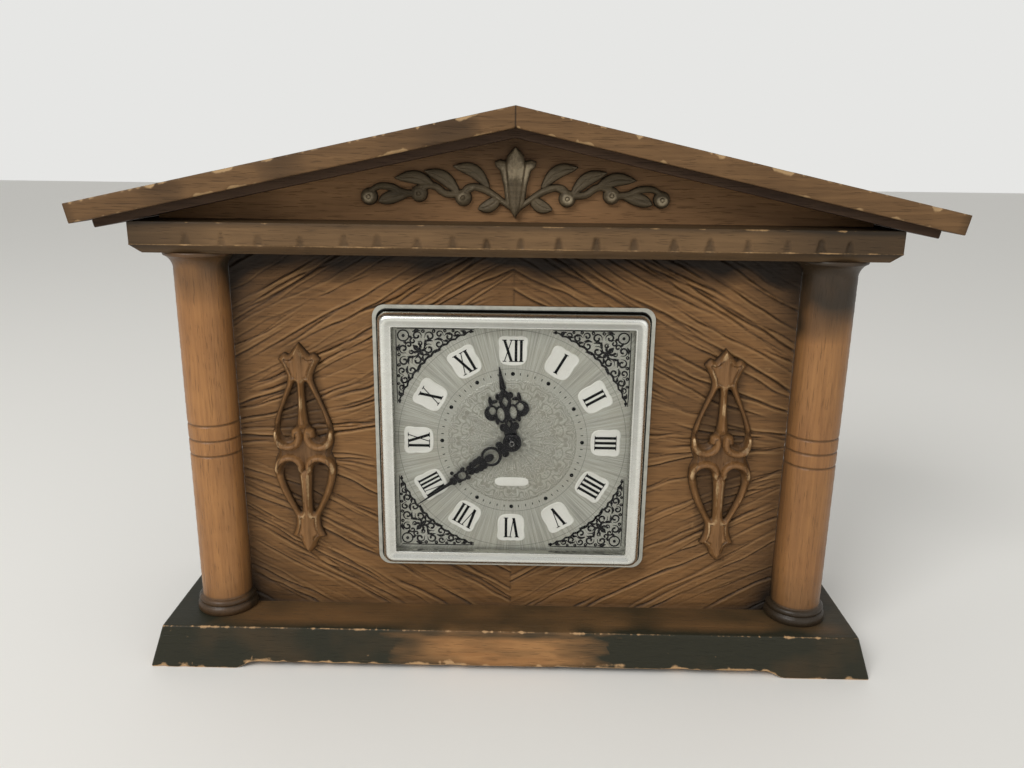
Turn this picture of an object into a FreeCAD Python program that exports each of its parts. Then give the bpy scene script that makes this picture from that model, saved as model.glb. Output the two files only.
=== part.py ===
import FreeCAD, Part
import Sketcher
import math
import os

# Temple-front mantel clock: a gabled wooden case on a flared base, with two turned columns,
# and a square battery insert whose balance-wheel movement drives the hands.
# Frame: X to the right, Y from the front to the back, Z up. The origin is the centre of the
# base's underside, and the clock stands on the plane Z = 0. All lengths are in millimetres.

doc = FreeCAD.newDocument("mantel_clock")
sheet = doc.addObject("Spreadsheet::Sheet", "Sizes")

# Each row: name, number. Lengths are millimetres, teeth and copies are counts,
# and names that end in share have no unit.
SIZES = [
    # Base: a flared board with two bracket feet left by a shallow arch
    ("base_width", 363.0),
    ("base_depth", 120.0),
    ("base_height", 21.0),
    ("base_side_flare", 6.0),
    ("base_front_flare", 4.3),
    ("foot_length", 42.5),
    ("arch_rise", 3.4),
    ("arch_run", 10.0),
    ("base_edge_slope", 0.9),
    # Carved front board, side boards and back board
    ("panel_setback", 30.4),
    ("panel_thickness", 12.0),
    ("side_thickness", 10.0),
    ("back_thickness", 4.0),
    ("back_setback", 7.6),
    ("insert_hole", 126.5),
    ("access_width", 150.0),
    ("access_height", 134.0),
    ("access_corner", 8.0),
    ("screw_inset", 5.0),
    ("screw_head_radius", 3.0),
    ("screw_head_height", 1.6),
    # Columns: turned, with a double ring foot and a coved capital
    ("column_spacing", 298.8),
    ("column_lead", 2.0),
    ("column_radius", 12.5),
    ("column_height", 186.5),
    ("foot_ring_radius", 15.4),
    ("second_ring_radius", 14.6),
    ("lower_ring_height", 4.6),
    ("upper_ring_height", 3.4),
    ("capital_radius", 16.8),
    ("capital_lip", 1.8),
    ("cove_height", 5.4),
    # Top board with a bevelled underside and a row of chip cuts along its front
    ("top_width", 349.8),
    ("top_thickness", 14.5),
    ("top_lead", 20.5),
    ("top_bevel", 4.2),
    ("top_overhang_back", 2.0),
    ("chip_copies", 19),
    ("chip_pitch", 16.6),
    ("chip_height", 6.0),
    ("chip_top_width", 2.6),
    ("chip_foot_width", 5.0),
    ("chip_depth", 1.1),
    # Gable roof: slope as rise over run, boards over a thin lining
    ("roof_width", 400.0),
    ("roof_slope_share", 0.218),
    ("roof_thickness", 9.0),
    ("lining_thickness", 3.8),
    ("roof_lead", 26.3),
    ("roof_overhang_back", 3.0),
    ("lining_inset_front", 5.6),
    ("lining_inset_end", 9.8),
    ("gable_thickness", 8.0),
    ("gable_setback", 2.0),
    ("gable_tip_cut", 6.0),
    ("rear_gable_inset", 6.0),
    ("roof_edge_slope", 0.6),
    # Carved ornaments: two pierced scrolls and a spray of leaves and berries
    ("scroll_height", 112.6),
    ("scroll_half_width", 16.0),
    ("scroll_thickness", 5.0),
    ("scroll_spacing", 209.8),
    ("scroll_centre_height", 106.9),
    ("spray_half_width", 72.4),
    ("spray_height", 32.6),
    ("spray_thickness", 4.5),
    ("spray_foot_gap", 1.8),
    ("stem_width", 3.0),
    ("leaf_width", 5.8),
    ("berry_radius", 4.0),
    # Dial insert: tray with a flange, gasket, bezel, glass and dial
    ("dial_height", 113.7),
    ("flange_size", 137.2),
    ("flange_thickness", 1.2),
    ("flange_corner", 6.0),
    ("gasket_size", 133.4),
    ("gasket_thickness", 0.8),
    ("gasket_corner", 5.0),
    ("bezel_size", 131.6),
    ("bezel_corner", 4.6),
    ("bezel_height", 6.3),
    ("bezel_lip", 1.0),
    ("bezel_sight", 117.4),
    ("bezel_bore", 125.2),
    ("bezel_slope", 3.0),
    ("glass_thickness", 1.2),
    ("fitting_gap", 0.2),
    ("dial_thickness", 0.8),
    ("dial_setting", 1.6),
    ("dial_hole_radius", 4.0),
    ("tray_floor", 2.0),
    ("tray_wall", 2.0),
    ("tray_depth", 15.0),
    ("tray_hole_radius", 8.0),
    ("tray_post_size", 5.4),
    ("clip_width", 14.0),
    ("clip_thickness", 1.2),
    ("clip_reach", 8.0),
    ("clip_level", 40.0),
    # Movement plates and pillars
    ("plate_margin", 3.4),
    ("plate_corner", 4.0),
    ("plate_thickness", 1.5),
    ("plate_setting", 6.5),
    ("plate_gap", 13.0),
    ("pillar_radius", 2.6),
    ("pillar_inset", 6.0),
    ("post_inset", 4.0),
    ("nut_radius", 2.4),
    ("nut_height", 1.6),
    ("running_gap", 0.05),
    ("end_shake", 0.3),
    # Motion work: cannon pinion, minute wheel, hour wheel and setting pinion
    ("motion_module", 0.5),
    ("cannon_teeth", 12),
    ("minute_wheel_teeth", 36),
    ("minute_pinion_teeth", 10),
    ("hour_wheel_teeth", 40),
    ("tooth_backlash_share", 0.16),
    ("wheel_thickness", 1.2),
    ("wheel_gap", 0.5),
    ("arbor_radius", 1.2),
    ("cannon_tube_radius", 1.9),
    ("hour_tube_radius", 2.8),
    ("wheel_post_radius", 0.9),
    ("setting_arbor_radius", 1.1),
    ("minute_wheel_bearing", -45.0),
    ("setting_bearing", 0.0),
    # Going train: centre wheel, third wheel, escape wheel
    ("train_module", 0.4),
    ("centre_wheel_teeth", 50),
    ("train_pinion_teeth", 10),
    ("third_wheel_teeth", 40),
    ("third_bearing", 135.0),
    ("escape_bearing", 20.0),
    ("escape_teeth", 15),
    ("escape_radius", 6.0),
    ("escape_tooth_height", 1.6),
    ("train_arbor_radius", 0.8),
    ("pivot_radius", 0.5),
    ("wheel_hub_radius", 1.7),
    ("centre_wheel_level", 0.9),
    ("third_wheel_level", 4.2),
    ("escape_wheel_level", 7.6),
    ("escape_wheel_thickness", 0.8),
    # Balance: staff with roller and collet, wheel with magnets, coil, spring and cock
    ("balance_bearing", 50.0),
    ("roller_radius", 2.4),
    ("roller_gap", 1.0),
    ("staff_radius", 0.9),
    ("balance_radius", 11.5),
    ("balance_rim", 1.8),
    ("balance_arm", 2.2),
    ("balance_hub_radius", 2.2),
    ("balance_thickness", 1.4),
    ("balance_level", 3.2),
    ("magnet_radius", 1.8),
    ("magnet_height", 0.9),
    ("coil_radius", 4.5),
    ("coil_bore", 1.8),
    ("coil_height", 1.9),
    ("collet_radius", 1.6),
    ("spring_level", 6.0),
    ("spring_outer_radius", 7.0),
    ("spring_inner_radius", 2.5),
    ("spring_turns", 3),
    ("spring_width", 0.9),
    ("spring_strip", 0.3),
    ("stud_radius", 0.6),
    ("cock_level", 8.6),
    ("cock_thickness", 1.6),
    ("cock_width", 8.0),
    ("cock_reach", 16.0),
    ("cock_boss_radius", 2.2),
    ("cock_boss_height", 1.3),
    ("jewel_radius", 1.5),
    ("lever_length", 16.0),
    ("lever_width", 2.6),
    ("lever_thickness", 0.8),
    ("lever_ring", 1.5),
    ("lever_pin_radius", 0.8),
    ("lever_pin_height", 4.6),
    # Dust cover and setting knob
    ("cover_wall", 1.4),
    ("cover_depth", 31.0),
    ("cover_gap", 0.25),
    ("cover_hole_gap", 0.5),
    ("lever_slot_length", 14.0),
    ("lever_slot_width", 3.6),
    ("knob_radius", 6.0),
    ("knob_height", 8.0),
    ("knob_flutes", 16),
    ("knob_flute_radius", 0.7),
    ("knob_gap", 1.5),
    # Battery, holder, contacts and circuit board
    ("battery_radius", 13.1),
    ("battery_length", 48.5),
    ("battery_cap_radius", 3.2),
    ("battery_cap_height", 1.5),
    ("battery_gap", 0.3),
    ("holder_wall", 1.6),
    ("holder_depth", 24.0),
    ("holder_clearance", 2.85),
    ("contact_thickness", 0.4),
    ("contact_width", 9.0),
    ("board_width", 20.0),
    ("board_height", 38.0),
    ("board_thickness", 1.6),
    ("capacitor_radius", 3.2),
    ("capacitor_height", 11.0),
    ("transistor_radius", 2.4),
    ("transistor_height", 5.0),
    # Hands: pierced serpentine pattern, turned to where the clock stopped
    ("minute_hand_length", 58.4),
    ("hour_hand_length", 39.4),
    ("hand_thickness", 0.5),
    ("hand_collet_radius", 4.7),
    ("minute_hand_bearing", -144.6),
    ("hour_hand_bearing", 99.9),
    ("hour_hand_setting", 1.1),
    ("minute_hand_setting", 2.3),
    ("hand_nut_radius", 2.3),
    ("hand_nut_height", 0.9),
    ("arbor_end", 0.2),
    ("pinion_overlap", 0.2),
    ("lever_gap", 0.1),
    ("coil_reach", 9.3),
    ("spring_stud_gap", 0.05),
    ("battery_exit", 90.0),
]


class Size:
    """A value together with the formula that binds it to the sheet."""

    def __init__(self, number, formula):
        self.number = number
        self.formula = formula

    def __add__(self, other):
        other = as_size(other)
        return Size(self.number + other.number, f"({self.formula} + {other.formula})")

    def __sub__(self, other):
        other = as_size(other)
        return Size(self.number - other.number, f"({self.formula} - {other.formula})")

    def __mul__(self, other):
        other = as_size(other)
        return Size(self.number * other.number, f"({self.formula} * {other.formula})")

    def __truediv__(self, other):
        other = as_size(other)
        return Size(self.number / other.number, f"({self.formula} / {other.formula})")

    def __neg__(self):
        return Size(-self.number, f"(-1 * {self.formula})")

    __rmul__ = __mul__


def as_size(value):
    return value if isinstance(value, Size) else Size(value, repr(value))


def root(value):
    return Size(math.sqrt(value.number), f"sqrt({value.formula})")


class Table:
    """The sheet's sizes, each under its own name."""


S = Table()
for row, (name, number) in enumerate(SIZES, start=1):
    sheet.set(f"A{row}", name)
    sheet.set(f"B{row}", str(number))
    sheet.setAlias(f"B{row}", name)
    setattr(S, name, Size(number, f"Sizes.{name}"))
doc.recompute()

ZERO = as_size(0)
Y_AXIS = FreeCAD.Vector(0, 1, 0)
made_nodes = []


# Building helpers

def node(thing, label):
    """Give a finished sub-part the label that names its file."""
    thing.Label = label
    made_nodes.append(thing)
    return thing


def place(thing, x=ZERO, y=ZERO, z=ZERO):
    for axis, value in (("x", x), ("y", y), ("z", z)):
        thing.setExpression(f".Placement.Base.{axis}", as_size(value).formula)


def new_body(label, x=ZERO, y=ZERO, z=ZERO):
    made = doc.addObject("PartDesign::Body", label)
    place(made, x, y, z)
    return node(made, label)


def origin_feature(owner, role):
    return [f for f in owner.Origin.OriginFeatures if f.Role == role][0]


def sketch(owner, name, plane, outlines, lift=None):
    """Closed outlines on an origin plane. A vertex is (across, up) or (across, up, sagitta),
    where the sagitta bends the edge that leaves it, to the left of its travel if positive."""
    made = owner.newObject("Sketcher::SketchObject", name)
    made.AttachmentSupport = [(origin_feature(owner, plane), "")]
    made.MapMode = "FlatFace"
    if lift is not None:
        made.setExpression(".AttachmentOffset.Base.z", lift.formula)
    for outline in outlines:
        add_outline(made, outline)
    return made


def add_outline(made, outline):
    first = made.GeometryCount
    count = len(outline)
    ends = []
    for i, vertex in enumerate(outline):
        here = FreeCAD.Vector(vertex[0].number, vertex[1].number, 0)
        after = outline[(i + 1) % count]
        there = FreeCAD.Vector(after[0].number, after[1].number, 0)
        if len(vertex) == 2:
            made.addGeometry(Part.LineSegment(here, there), False)
            ends.append((1, 2))
        else:
            ends.append(add_arc(made, here, there, vertex[2].number))
    for i, vertex in enumerate(outline):
        begin = ends[i][0]
        finish = ends[i - 1][1]
        before = first + (i - 1) % count
        made.addConstraint(Sketcher.Constraint("Coincident", before, finish, first + i, begin))
        pin_vertex(made, first + i, begin, vertex)
        if len(vertex) == 3:
            bind_centre(made, first + i, vertex, outline[(i + 1) % count])


def add_arc(made, here, there, sagitta):
    """An arc from one point to the next that bulges by the sagitta to the left of its travel."""
    chord = there - here
    half = chord.Length / 2
    left = FreeCAD.Vector(-chord.y, chord.x, 0).normalize()
    radius = (half * half + sagitta * sagitta) / (2 * abs(sagitta))
    middle = (here + there) / 2
    side = 1 if sagitta > 0 else -1
    centre = middle + left * (side * (abs(sagitta) - radius))
    start, end = (there, here) if side > 0 else (here, there)
    angles = [math.atan2(p.y - centre.y, p.x - centre.x) for p in (start, end)]
    if angles[1] < angles[0]:
        angles[1] += 2 * math.pi
    circle = Part.Circle(centre, FreeCAD.Vector(0, 0, 1), radius)
    made.addGeometry(Part.ArcOfCircle(circle, angles[0], angles[1]), False)
    return (2, 1) if side > 0 else (1, 2)


def pin_vertex(made, edge, end, vertex):
    """Hold a vertex at its two coordinates, or on an axis where one is zero."""
    for kind, value, axis in (("DistanceX", vertex[0], -2), ("DistanceY", vertex[1], -1)):
        if value.formula == ZERO.formula:
            made.addConstraint(Sketcher.Constraint("PointOnObject", edge, end, axis))
        else:
            rule = Sketcher.Constraint(kind, -1, 1, edge, end, value.number)
            index = made.addConstraint(rule)
            made.setExpression(f"Constraints[{index}]", value.formula)


def bind_centre(made, edge, vertex, after):
    """Hold an arc's centre by its coordinate across the chord, which fixes its radius."""
    across = after[0] - vertex[0]
    up = after[1] - vertex[1]
    chord = root(across * across + up * up)
    sagitta = vertex[2]
    back = (chord * chord / 4 - sagitta * sagitta) / (sagitta * chord * 2)
    if abs(up.number) > abs(across.number):
        kind, value = "DistanceX", (vertex[0] + after[0]) / 2 + up * back
    else:
        kind, value = "DistanceY", (vertex[1] + after[1]) / 2 - across * back
    index = made.addConstraint(Sketcher.Constraint(kind, -1, 1, edge, 3, value.number))
    made.setExpression(f"Constraints[{index}]", value.formula)


def box_outline(width, height, low=None):
    """A rectangle centred on the across axis, from low, or centred on both axes."""
    bottom = -height / 2 if low is None else low
    left, right, top = -width / 2, width / 2, bottom + height
    return [(left, bottom), (right, bottom), (right, top), (left, top)]


def round_box_outline(width, height, corner, low=None):
    """A rectangle with rounded corners, centred across, from low or centred on both axes."""
    bottom = -height / 2 if low is None else low
    x, top = width / 2, bottom + height
    bulge = -corner * (1 - math.sqrt(0.5))
    return [(-x + corner, bottom), (x - corner, bottom, bulge), (x, bottom + corner),
            (x, top - corner, bulge), (x - corner, top), (-x + corner, top, bulge),
            (-x, top - corner), (-x, bottom + corner, bulge)]


def disc_outline(radius, x=ZERO, z=ZERO):
    """A circle as two half turns."""
    return [(x - radius, z, -radius), (x + radius, z, -radius)]


def pad(owner, profile, length):
    made = owner.newObject("PartDesign::Pad", profile.Name + "_pad")
    made.Profile = profile
    made.setExpression("Length", length.formula)
    return made


def pocket(owner, profile, depth=None, towards_back=True):
    """Cut a sketch's outline through the piece, or to a depth; on an upright plane the cut
    goes towards the back."""
    made = owner.newObject("PartDesign::Pocket", profile.Name + "_cut")
    made.Profile = profile
    if depth is None:
        made.Type = "ThroughAll"
        made.Midplane = True
    else:
        made.setExpression("Length", depth.formula)
    made.Reversed = not towards_back
    return made


def revolve(owner, profile, axis="V_Axis"):
    made = owner.newObject("PartDesign::Revolution", profile.Name + "_turned")
    made.Profile = profile
    made.ReferenceAxis = (profile, [axis])
    made.Angle = 360
    return made


def edges_where(feature, test):
    """Names of the feature's edges whose two ends pass the test."""
    doc.recompute()
    names = []
    for i, edge in enumerate(feature.Shape.Edges, start=1):
        points = [v.Point for v in edge.Vertexes]
        if len(points) == 2 and test(points[0], points[1]):
            names.append(f"Edge{i}")
    return names


def dress(owner, kind, feature, edges, size):
    """A fillet or chamfer on chosen edges."""
    made = owner.newObject(f"PartDesign::{kind}", f"{owner.Name}_{kind.lower()}")
    made.Base = (feature, edges)
    made.setExpression("Radius" if kind == "Fillet" else "Size", size.formula)
    return made


def plate(label, outlines, thickness, x, back_y, z):
    """A flat piece in the XZ plane: the first outline is its edge, the others are holes.
    Its back face is at back_y and it is as thick as given towards the front."""
    owner = new_body(label, x, back_y, z)
    pad(owner, sketch(owner, label + "_outline", "XZ_Plane", outlines), thickness)
    return owner


def turned(label, outline, x, y, z):
    """A piece turned about an axis along Y: outline vertices are (radius, distance back)."""
    owner = new_body(label, x, y, z)
    revolve(owner, sketch(owner, label + "_profile", "XY_Plane", [outline]))
    return owner


def stepped(steps, bore=ZERO):
    """Profile of a stepped shaft from (radius, length) pairs, front to back."""
    outline = []
    along = ZERO
    for radius, length in steps:
        outline.append((radius, along))
        along = along + length
        outline.append((radius, along))
    inside = [(bore, along), (bore, ZERO)]
    return outline + inside


def feature(label, shape, x=ZERO, y=ZERO, z=ZERO):
    """A sub-part whose form comes from a formula; it is moved to its place on the clock."""
    made = doc.addObject("Part::Feature", label)
    made.Shape = shape
    made.Placement = FreeCAD.Placement(vector(x, y, z), FreeCAD.Rotation())
    return node(made, label)


def vector(x, y, z):
    return FreeCAD.Vector(as_size(x).number, as_size(y).number, as_size(z).number)


def rod(radius, start, end, x=ZERO, z=ZERO):
    """A round bar along Y."""
    height = (end - start).number
    return Part.makeCylinder(radius.number, height, vector(x, start, z), Y_AXIS)


# Places that several pieces share

face_y = S.panel_setback - S.base_depth / 2
case_depth = S.base_depth - S.panel_setback - S.back_setback
back_y = face_y + case_depth
base_top = S.base_height
top_board_z = base_top + S.column_height
gable_z = top_board_z + S.top_thickness
panel_width = S.column_spacing - S.column_radius * 2
hub_z = S.dial_height
slant = root(S.roof_slope_share * S.roof_slope_share + 1)
gable_rise = S.top_width / 2 * S.roof_slope_share


def bearing(angle, distance, x=ZERO, z=ZERO):
    """The point at a distance along a bearing, in degrees from X towards Z."""
    across = Size(math.cos(math.radians(angle.number)), f"cos({angle.formula} * 1deg)")
    up = Size(math.sin(math.radians(angle.number)), f"sin({angle.formula} * 1deg)")
    return x + distance * across, z + distance * up


# Depths of the insert and the movement
tray_floor_y = face_y - S.dial_setting + S.dial_thickness
dial_front_y = face_y - S.dial_setting
bezel_back_y = face_y - S.flange_thickness - S.gasket_thickness
bezel_front_y = bezel_back_y - S.bezel_height
plate_front_y = face_y + S.plate_setting
plate_back_y = plate_front_y + S.plate_thickness
rear_plate_y = plate_back_y + S.plate_gap
movement_back_y = rear_plate_y + S.plate_thickness
cover_back_y = plate_front_y + S.cover_depth
knob_y = cover_back_y + S.knob_gap

# Arbor places, worked out from the teeth in mesh
motion_distance = S.motion_module * (S.cannon_teeth + S.minute_wheel_teeth) / 2
hour_module = motion_distance * 2 / (S.minute_pinion_teeth + S.hour_wheel_teeth)
third_distance = S.train_module * (S.centre_wheel_teeth + S.train_pinion_teeth) / 2
escape_distance = S.train_module * (S.third_wheel_teeth + S.train_pinion_teeth) / 2
HUB = (ZERO, hub_z)
HUB_PLACE = (ZERO, ZERO, hub_z)
MINUTE_WHEEL = bearing(S.minute_wheel_bearing, motion_distance, *HUB)
SETTING = bearing(S.setting_bearing, motion_distance, *MINUTE_WHEEL)
THIRD = bearing(S.third_bearing, third_distance, *HUB)
ESCAPE = bearing(S.escape_bearing, escape_distance, *THIRD)
BALANCE = bearing(S.balance_bearing, S.escape_radius + S.roller_radius + S.roller_gap, *ESCAPE)

# The battery holder stands on the tray's lower wall, and the square plates reach from above
# it to just above the balance
tray_size = S.bezel_bore + S.fitting_gap * 2
tray_inside = tray_size - S.tray_wall * 2
holder_reach = S.battery_radius + S.battery_gap + S.holder_wall
holder_z = hub_z - tray_inside / 2 + S.holder_clearance + holder_reach
plate_foot_z = holder_z + holder_reach + S.battery_gap + S.cover_wall + S.cover_gap
plate_size = BALANCE[1] + S.balance_radius + S.plate_margin - plate_foot_z
movement_z = plate_foot_z + plate_size / 2

# Levels of the wheels along Y
hour_wheel_y = tray_floor_y + S.tray_floor + S.wheel_gap
minute_wheel_y = hour_wheel_y + S.wheel_thickness * 2
centre_wheel_y = plate_back_y + S.centre_wheel_level
third_wheel_y = plate_back_y + S.third_wheel_level
escape_wheel_y = plate_back_y + S.escape_wheel_level
balance_y = movement_back_y + S.balance_level
cock_y = movement_back_y + S.cock_level


# Case

def make_base():
    """A board sawn to its end profile, with the arch between its feet, and a sloping front."""
    owner = new_body("base_board", ZERO, S.base_depth / 2, ZERO)
    half_bottom = S.base_width / 2
    half_top = half_bottom - S.base_side_flare
    inner = half_bottom - S.foot_length
    step = inner - S.arch_run
    bend = S.arch_rise / 3
    end = sketch(owner, "base_end", "XZ_Plane", [[
        (-half_bottom, ZERO), (-inner, ZERO, bend), (-step, S.arch_rise),
        (step, S.arch_rise, bend), (inner, ZERO), (half_bottom, ZERO),
        (half_top, S.base_height), (-half_top, S.base_height)]])
    pad(owner, end, S.base_depth)
    doc.recompute()
    front = -S.base_depth
    wedge = sketch(owner, "base_front", "YZ_Plane", [[
        (front, ZERO), (front + S.base_front_flare, S.base_height), (front, S.base_height)]])
    sloped = pocket(owner, wedge)
    level = S.base_height.number / 2
    top_edges = edges_where(sloped, lambda a, b: min(a.z, b.z) > level)
    dress(owner, "Chamfer", sloped, top_edges, S.base_edge_slope)


# How much of a ring's height each sloping face takes, and how far the cove has flared halfway up
RING_SLOPE_SHARE = 0.3
COVE_WAIST_SHARE = 0.22


def make_column(side, label, x):
    owner = new_body(label, x, face_y - S.column_lead, base_top)
    r = S.column_radius
    ring = S.foot_ring_radius
    second = S.lower_ring_height + S.upper_ring_height
    lip = S.column_height - S.capital_lip
    cove = lip - S.cove_height
    outline = [(ZERO, ZERO)]
    for radius, low, height in ((ring, ZERO, S.lower_ring_height),
                                (S.second_ring_radius, S.lower_ring_height, S.upper_ring_height)):
        slope = height * RING_SLOPE_SHARE
        outline += [(radius, low), (radius, low + height - slope),
                    (radius - slope, low + height)]
    outline += [(r, second)]
    waist = r + (S.capital_radius - r) * COVE_WAIST_SHARE
    outline += [(r, cove), (waist, cove + S.cove_height / 2), (S.capital_radius, lip),
                (S.capital_radius, S.column_height), (ZERO, S.column_height)]
    revolve(owner, sketch(owner, label + "_profile", "XZ_Plane", [outline]))
    doc.recompute()
    edge = r * -side
    away = S.capital_radius * -side * 2
    behind = S.column_lead
    rebate = sketch(owner, label + "_rebate", "XY_Plane", [[
        (edge, behind), (away, behind), (away, behind + S.capital_radius),
        (edge, behind + S.capital_radius)]])
    pocket(owner, rebate)


def make_top_board():
    depth = S.top_lead + case_depth + S.top_overhang_back
    owner = new_body("top_board", ZERO, face_y - S.top_lead, top_board_z)
    half_width = S.top_width / 2
    plan = sketch(owner, "top_board_plan", "XY_Plane", [[
        (-half_width, ZERO), (half_width, ZERO), (half_width, depth), (-half_width, depth)]])
    board = pad(owner, plan, S.top_thickness)
    limit = S.top_thickness.number / 2
    far = depth.number / 2
    low = edges_where(board, lambda a, b: max(a.z, b.z) < limit and min(a.y, b.y) < far)
    dress(owner, "Chamfer", board, low, S.top_bevel)
    doc.recompute()
    first = -S.chip_pitch * (S.chip_copies - 1) / 2
    foot = S.chip_foot_width / 2
    head = S.chip_top_width / 2
    chip = sketch(owner, "chip_cut", "XZ_Plane", [[
        (first - foot, S.top_bevel), (first + foot, S.top_bevel),
        (first + head, S.top_bevel + S.chip_height), (first - head, S.top_bevel + S.chip_height)]])
    cut = pocket(owner, chip, S.chip_depth)
    row = owner.newObject("PartDesign::LinearPattern", "chip_row")
    row.Originals = [cut]
    row.Direction = (chip, ["H_Axis"])
    row.setExpression("Length", (S.chip_pitch * (S.chip_copies - 1)).formula)
    row.setExpression("Occurrences", S.chip_copies.formula)
    owner.Tip = row


def make_gable(label, front_y):
    reach = S.top_width / 2 - S.gable_tip_cut
    shoulder = S.gable_tip_cut * S.roof_slope_share
    plate(label, [[(-reach, ZERO), (reach, ZERO), (reach, shoulder), (ZERO, gable_rise),
                   (-reach, shoulder)]], S.gable_thickness, ZERO, front_y + S.gable_thickness, gable_z)


def make_roof_half(side, label, apex, length, thickness, front_y, depth):
    """A sloping board from the mitre at the ridge, its outer end cut square to the slope."""
    owner = new_body(label, ZERO, front_y + depth, gable_z)
    tip_z = apex - length * S.roof_slope_share
    inner_x = length - thickness * S.roof_slope_share / slant
    inner_z = tip_z - thickness / slant
    outline = [(ZERO, apex - thickness * slant), (inner_x * side, inner_z),
               (length * side, tip_z), (ZERO, apex)]
    board = pad(owner, sketch(owner, label + "_end", "XZ_Plane", [outline]), depth)
    middle = length.number / 2
    ends = edges_where(board, lambda a, b: min(abs(a.x), abs(b.x)) > middle)
    dress(owner, "Chamfer", board, ends, S.roof_edge_slope)


def make_boards():
    height = S.column_height
    hole_low = hub_z - S.insert_hole / 2 - base_top
    hole = box_outline(S.insert_hole, S.insert_hole, hole_low)
    plate("front_panel", [box_outline(panel_width, height, ZERO), hole], S.panel_thickness,
          ZERO, face_y + S.panel_thickness, base_top)
    side_depth = case_depth - S.panel_thickness - S.back_thickness
    middle = panel_width / 2 - S.side_thickness / 2
    for side, label in ((-1, "side_panel_left"), (1, "side_panel_right")):
        plate(label, [box_outline(S.side_thickness, height, ZERO)], side_depth,
              middle * side, back_y - S.back_thickness, base_top)
    owner = new_body("back_panel", ZERO, back_y, base_top)
    rim = sketch(owner, "back_rim", "XZ_Plane", [box_outline(panel_width, height, ZERO)])
    pad(owner, rim, S.back_thickness)
    doc.recompute()
    low = hub_z - S.access_height / 2 - base_top
    pocket(owner, sketch(owner, "access_gate", "XZ_Plane", [
        round_box_outline(S.access_width, S.access_height, S.access_corner, low)]))


def make_back_screws():
    """Six heads that hold the back board to the side boards."""
    x = panel_width / 2 - S.screw_inset
    levels = (base_top + S.screw_inset * 2, base_top + S.column_height / 2,
              top_board_z - S.screw_inset * 2)
    heads = []
    for side in (-1, 1):
        for level in levels:
            heads.append(hexagon(S.screw_head_radius, ZERO, S.screw_head_height,
                                 x * side, level))
    feature("back_screws", Part.makeCompound(heads), ZERO, back_y, ZERO)


def make_case():
    make_base()
    x = S.column_spacing / 2
    make_column(-1, "column_left", -x)
    make_column(1, "column_right", x)
    make_top_board()
    make_boards()
    make_back_screws()
    make_gable("tympanum_panel", face_y + S.gable_setback)
    make_gable("rear_gable_panel", back_y - S.rear_gable_inset - S.gable_thickness)
    lining_apex = gable_rise + S.lining_thickness * slant
    roof_apex = lining_apex + S.roof_thickness * slant
    front = face_y - S.roof_lead
    depth = S.roof_lead + case_depth + S.roof_overhang_back
    lining_depth = depth - S.lining_inset_front * 2
    for side, word in ((-1, "left"), (1, "right")):
        make_roof_half(side, "roof_board_" + word, roof_apex, S.roof_width / 2,
                       S.roof_thickness, front, depth)
        make_roof_half(side, "roof_lining_" + word, lining_apex,
                       S.roof_width / 2 - S.lining_inset_end, S.lining_thickness,
                       front + S.lining_inset_front, lining_depth)


# Carved ornaments, whose outlines are shares of their own width and height

# Half outline of the scroll, from the top tip down: (share of half width, share of height)
SCROLL_OUTLINE_SHARES = [
    [(0.0, 1.0), (0.20, 0.965), (0.32, 0.945)],
    [(0.32, 0.945), (0.48, 0.952), (0.66, 0.925)],
    [(0.66, 0.925), (0.50, 0.885), (0.40, 0.83), (0.62, 0.74), (0.90, 0.63), (0.95, 0.55),
     (0.84, 0.492)],
    [(0.84, 0.492), (0.96, 0.45), (0.98, 0.39), (0.80, 0.30), (0.52, 0.22), (0.40, 0.18),
     (0.42, 0.13), (0.56, 0.085)],
    [(0.56, 0.085), (0.36, 0.075), (0.26, 0.055)],
    [(0.26, 0.055), (0.20, 0.03), (0.0, 0.0)],
]
# The two holes of one half, each a closed run of the same shares
SCROLL_HOLE_SHARES = [
    [(0.14, 0.82), (0.40, 0.755), (0.63, 0.68), (0.74, 0.60), (0.62, 0.562), (0.42, 0.568),
     (0.36, 0.602), (0.20, 0.625), (0.13, 0.71)],
    [(0.23, 0.405), (0.34, 0.428), (0.50, 0.437), (0.68, 0.415), (0.68, 0.36), (0.46, 0.27),
     (0.20, 0.205), (0.18, 0.30)],
]


STEPS_PER_GAP = 2


def smooth(points, closed=False):
    """Points along the smooth curve through the given ones, with one more in each gap."""
    curve = Part.BSplineCurve()
    curve.interpolate(Points=points, PeriodicFlag=closed)
    gaps = len(points) if closed else len(points) - 1
    first, last = curve.FirstParameter, curve.LastParameter
    count = STEPS_PER_GAP * gaps
    ends = count if closed else count + 1
    return [curve.value(first + (last - first) * i / count) for i in range(ends)]


def share_points(shares, width, height, side=1):
    return [FreeCAD.Vector(u * side * width.number, 0, v * height.number) for u, v in shares]


def prism(wires, thickness):
    """A flat piece from its outline and holes, standing in front of its own origin plane."""
    face = Part.Face(wires[0])
    for hole in wires[1:]:
        face = face.cut(Part.Face(hole))
    return face.extrude(FreeCAD.Vector(0, -thickness.number, 0))


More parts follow.
